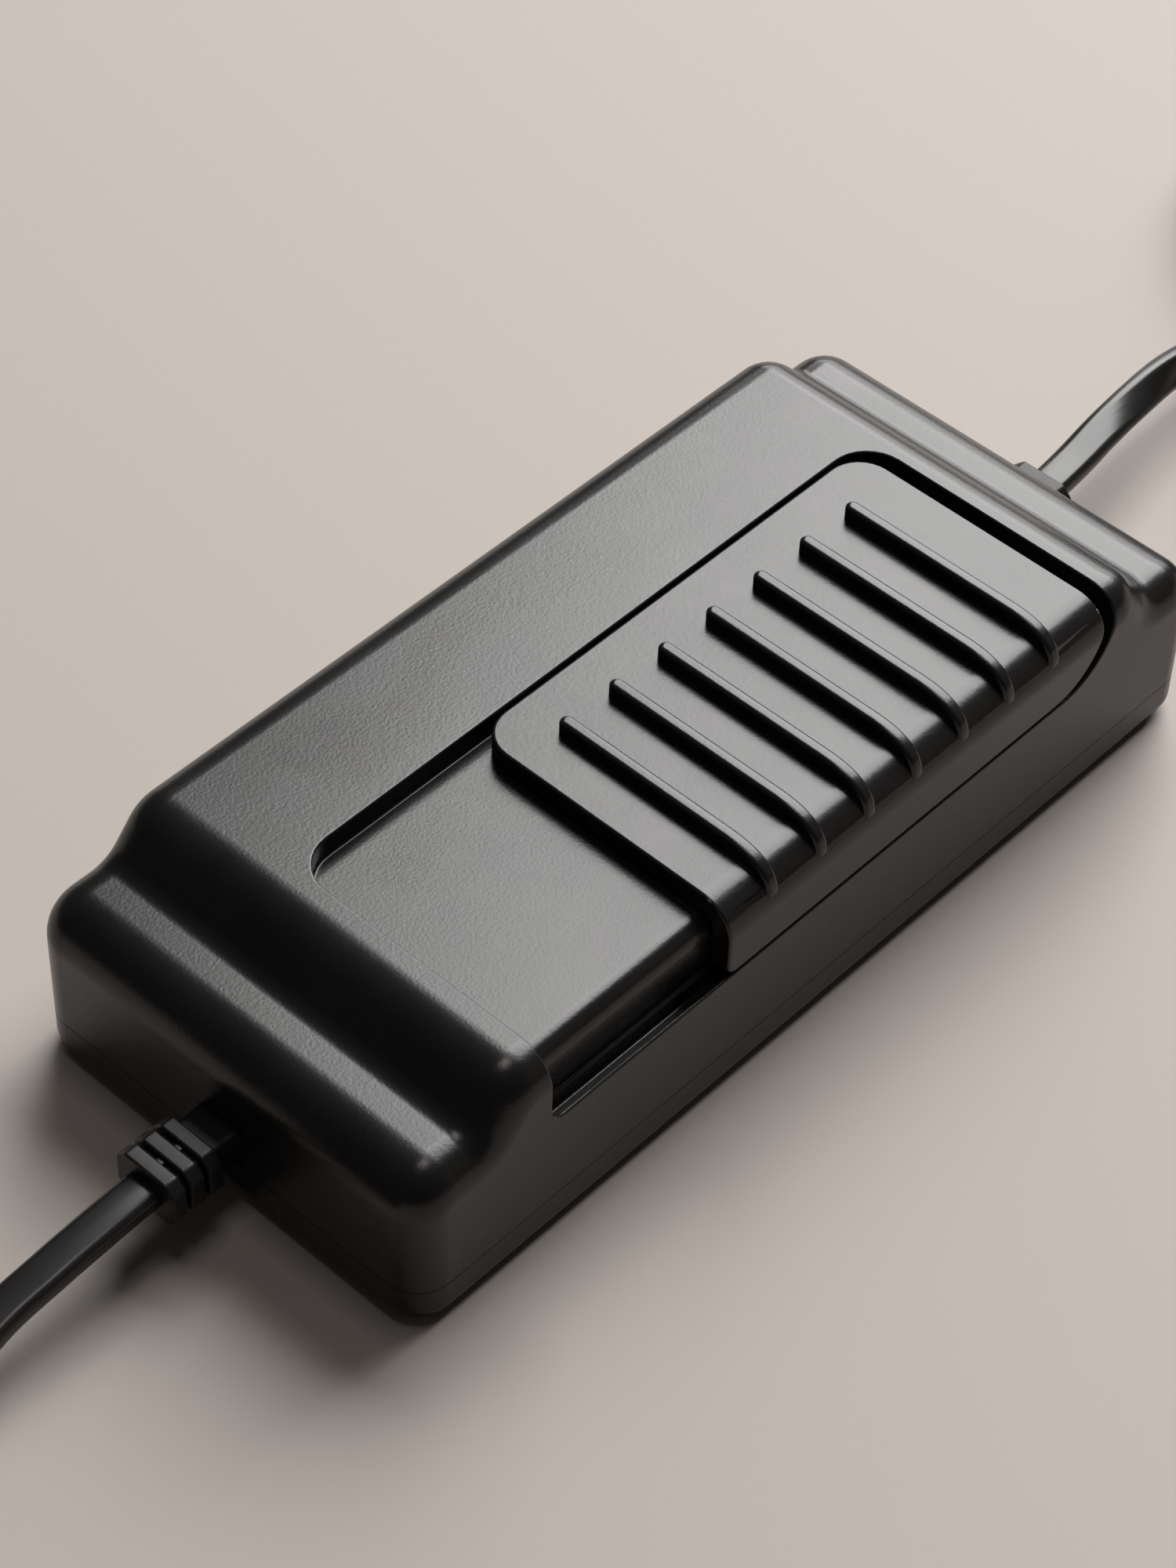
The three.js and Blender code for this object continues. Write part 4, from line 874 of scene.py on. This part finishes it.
def strain_relief(end, plates):
    """A sleeve in one end wall, end being -1 or 1, with a row of plates outside it."""
    def span(a, b, width, height, corner, steps=5):
        x0, x1 = sorted((end * a, end * b))
        outline = rounded_box(-width / 2, width / 2, CORD_AXIS - height / 2, CORD_AXIS + height / 2,
                              [corner] * 4, steps)
        return prism("X", outline, x0, x1)

    last = END + PLATE_START + (plates - 1) * PLATE_PITCH
    core = span(END - 9.5, last + 1, NECK_WIDE, NECK_HIGH, NECK_CORNER)
    pieces = [span(END - 6.6, END - 2.7, FLANGE_WIDE, NECK_HIGH, 0.8)]
    for i in range(plates):
        x0 = END + PLATE_START + i * PLATE_PITCH
        plate = span(x0, x0 + PLATE, RELIEF_WIDE, RELIEF_HIGH, PLATE_CORNER, 1)
        pieces.append(apply_modifiers(soften(plate, PLATE_ROUND_OFF, segments=3)))
    web = span(END + PLATE_START + 1, last + 1, WEB_WIDE, RELIEF_HIGH - 1.2, 0.3)
    return combine(core, "UNION", *pieces, web)


for end, tag, plates in ((-1, "in", 3), (1, "out", 2)):
    sleeve = soften(strain_relief(end, plates), 0)
    finish_piece(sleeve, f"sleeve_{tag}", RELIEF_BLACK, "housing", "moulded_rubber", f"strain_relief_{tag}")

# %% [markdown]
# ## Ties and connectors
# A soft strap holds each coil together. The mains lead ends in a flat two-pin plug, whose pins are
# sleeved for the half nearest the body, and the lamp lead ends in the matching in-line socket.

# %% Coil ties
TIE_THICK, TIE_CORNER, FLAP_LONG = 0.7, 2.2, 7


def coil_tie(node, name):
    """A strap round the turns, with the loose end of the strap lying on top."""
    low, high = (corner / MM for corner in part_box(node))
    outer = rounded_box(low.x, high.x, low.z, high.z, [TIE_CORNER] * 4, 6)
    inner = rounded_box(low.x + TIE_THICK, high.x - TIE_THICK, low.z + TIE_THICK, high.z - TIE_THICK,
                        [TIE_CORNER - 0.6] * 4, 6)
    strap = combine(prism("Y", outer, low.y, high.y), "DIFFERENCE",
                    prism("Y", inner, low.y - 1, high.y + 1))
    x = (low.x + high.x) / 2
    flap = block(x - FLAP_LONG / 2, x + FLAP_LONG / 2, low.y + 0.4, high.y - 0.4,
                 high.z - 0.4, high.z + 0.45)
    soften(combine(strap, "UNION", flap), 0.2, segments=2)
    return finish_piece(strap, name, TIE_WEAVE, "housing", "cord_tie", node)


coil_tie("mains_tie", "mains_strap")
coil_tie("lamp_tie", "lamp_strap")

# %% [markdown]
# Both connectors are one shape at two sizes: a flat body that widens from the flex, with five
# short grip grooves in each side. The pins are turned, and round off at the tip.

# %% Plug and socket
GRIPS, GRIP_PITCH, GRIP_WIDE, GRIP_DEEP = 5, 2.4, 1.0, 0.7
PIN_PITCH, HOLE_RADIUS, HOLE_DEEP, SLEEVED = 18.6, 2.4, 19, 10


def connector(node, way, rear, taper, edge):
    """A flat moulded body, narrow where the flex goes in, and the middle and face of its far end."""
    low, high = (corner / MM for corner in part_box(node))
    x0 = low.x if way > 0 else high.x
    x1 = high.x if way > 0 else low.x
    y = (low.y + high.y) / 2
    half = (high.y - low.y) / 2
    outline = [(x0, y - rear / 2), (x0 + way * 3, y - rear / 2 - 0.5), (x0 + way * taper, y - half),
               (x1, y - half), (x1, y + half), (x0 + way * taper, y + half),
               (x0 + way * 3, y + rear / 2 + 0.5), (x0, y + rear / 2)]
    body = prism("Z", outline, low.z, high.z)
    soften(body, edge, segments=6, limit=25)
    apply_modifiers(body)
    for i in range(GRIPS):
        for side in (-1, 1):
            x = x0 + way * (taper + 3 + GRIP_PITCH * i)
            wall = y + side * half
            combine(body, "DIFFERENCE",
                    block(x - GRIP_WIDE / 2, x + GRIP_WIDE / 2, wall - GRIP_DEEP, wall + GRIP_DEEP,
                          low.z + 3, high.z - 3))
    return body, Vector((x1, y, (low.z + high.z) / 2))


plug_body, plug_face = connector("mains_plug", 1, 10, 13, 2.6)
finish_piece(soften(plug_body, 0), "plug_body", RELIEF_BLACK, "housing", "moulded_rubber", "mains_plug")
socket_body, socket_face = connector("lamp_socket", -1, 10, 12, 2.8)
for side in (-1, 1):
    outline = arc(socket_face.y + side * PIN_PITCH / 2, socket_face.z, HOLE_RADIUS, 0, 360, 28)[:-1]
    combine(socket_body, "DIFFERENCE", prism("X", outline, socket_face.x - 1, socket_face.x + HOLE_DEEP))
finish_piece(soften(socket_body, 0), "socket_body", RELIEF_BLACK, "housing", "moulded_rubber",
             "lamp_socket")

for i in range(2):
    node = f"plug_pin_{i + 1}"
    low, high = (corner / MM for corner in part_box(node))
    length = high.x - low.x
    profile = [(1.2, -1.2), (1.85, -1.0), (1.85, SLEEVED), (1.98, SLEEVED + 0.15), (1.98, length - 1.6),
               (1.8, length - 0.8), (1.3, length - 0.25), (0.6, length)]
    pin = turned("pin", profile, Vector((low.x, (low.y + high.y) / 2, plug_face.z)), axis="X", steps=28)
    soften(pin, 0)
    finish_piece(pin, f"pin_{i + 1}", NICKEL, "housing", "plated_pins", node)
    pin.data.materials.append(RELIEF_BLACK)
    sleeve_end = low.x + SLEEVED + 0.1
    for face in pin.data.polygons:
        if face.center.x / MM < sleeve_end:
            face.material_index = 1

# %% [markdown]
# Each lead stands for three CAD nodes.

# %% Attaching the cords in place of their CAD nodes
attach(mains_flex, "housing")
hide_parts("mains_cord", "mains_coil", "mains_tail")
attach(lamp_flex, "housing")
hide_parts("lamp_cord", "lamp_coil", "lamp_tail")

# %% [markdown]
# ## What is inside
# The circuit, the potentiometer and their fasteners keep their CAD shapes, because the closed
# housing hides them, but each gets the finish of the real part.

# %% Finishes for the inner pieces
INNER_FINISHES = {
    "slide_retainer": NYLON, "terminal_block": NYLON, "cord_clamp": NYLON, "pot_lever": RESIN_BLACK,
    "triac": RESIN_BLACK, "pot_housing": PRESSED_STEEL, "pot_track": LAMINATE, "circuit_board": LAMINATE,
    "heat_sink_screw": ZINC, "heat_sink": ALUMINIUM, "choke": COPPER, "film_capacitor": FILM,
    "timing_capacitor": FILM, "diac": GLASS, "resistor": LACQUER, "fuse_clip": BRASS, "fuse": GLASS,
    "housing_screw": ZINC, "retainer_screw": ZINC, "terminal_screw": ZINC, "clamp_screw": ZINC,
    "inner_lead": SHEATH_BLACK,
}
painted = 0
for name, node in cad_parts.items():
    paint = next((p for start, p in INNER_FINISHES.items() if name.startswith(start)), None)
    if paint:
        node.data.materials.clear()
        node.data.materials.append(paint)
        painted += 1
print("inner pieces painted:", painted)

# %% [markdown]
# ## Floor and light
# The floor is pale and warm. It reaches far enough that its edge is never near the object.

# %% Floor
def floor_recipe(wire):
    clouds = noise(wire, 160, detail=3)
    fibres = noise(wire, 1.2, detail=4, roughness=0.6)
    return {
        "Base Color": (clouds * 0.75 + fibres * 0.25).tint((0.336, 0.297, 0.269), (0.367, 0.328, 0.300)),
        "Roughness": 0.62 + clouds * 0.1,
        "Normal": bump(wire, fibres, 0.1, 0.05),
    }


REACH = 4000
floor = mesh_object("floor", [(-REACH, -REACH, 0), (REACH, -REACH, 0), (REACH, REACH, 0), (-REACH, REACH, 0)],
                    [(0, 1, 2, 3)])
floor.data.materials.append(material("floor_paper", {}, floor_recipe))
floor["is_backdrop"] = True


# %% [markdown]
# One big soft light stands beyond the far end, like a window, with a lower one beside it. The tops
# mirror them, so they turn grey, while the rounded edges that face the viewer mirror a dark room.
# A weak warm light in front and a small one overhead keep the shadows open.

# %% Lights
def soft_light(name, place, target, size, power, colour):
    light = bpy.data.objects.new(name, bpy.data.lights.new(name, "AREA"))
    light.data.shape = "RECTANGLE"
    light.data.size, light.data.size_y = size
    light.data.energy = power
    light.data.color = colour
    light.location = place
    light.rotation_euler = (Vector(target) - Vector(place)).to_track_quat("-Z", "Y").to_euler()
    bpy.context.scene.collection.objects.link(light)
    print(name, "gives", power, "W")


MIDDLE = (0, 0, 0.02)
# The window's middle is this far round from +X and this far up, seen from the object.
WINDOW_ROUND, WINDOW_UP, WINDOW_AWAY = math.radians(16), math.radians(48), 2.0
window_place = Vector((math.cos(WINDOW_UP) * math.cos(WINDOW_ROUND),
                       math.cos(WINDOW_UP) * math.sin(WINDOW_ROUND), math.sin(WINDOW_UP))) * WINDOW_AWAY
soft_light("window", window_place, MIDDLE, (1.5, 1.46), 73, (1.0, 0.99, 0.98))
soft_light("low_window", (1.72, 0.80, 0.62), MIDDLE, (1.7, 0.56), 12, (1.0, 0.99, 0.98))
soft_light("front_fill", (1.06, -1.46, 0.88), MIDDLE, (1.2, 1.0), 0.4, (1.0, 0.86, 0.74))
soft_light("ceiling", (0, 0, 2.0), (0, 0, 0), (0.6, 0.6), 4.8, (1.0, 0.93, 0.90))
world = bpy.data.worlds.new("room")
world.use_nodes = True
room = world.node_tree.nodes["Background"]
room.inputs["Color"].default_value = (0.95, 0.97, 1.0, 1)
room.inputs["Strength"].default_value = 0.05
bpy.context.scene.world = world
bpy.context.scene.view_settings.view_transform = "Standard"

# %% [markdown]
# ## Sizes
# The box of the finished model is written beside the box of the CAD, to compare.

# %% Sizes and the end
visual_box = [list(corner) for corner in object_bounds()]
for label, pair in (("cad", cad_box), ("visual", visual_box)):
    print(label, [[round(v / MM, 1) for v in corner] for corner in pair])
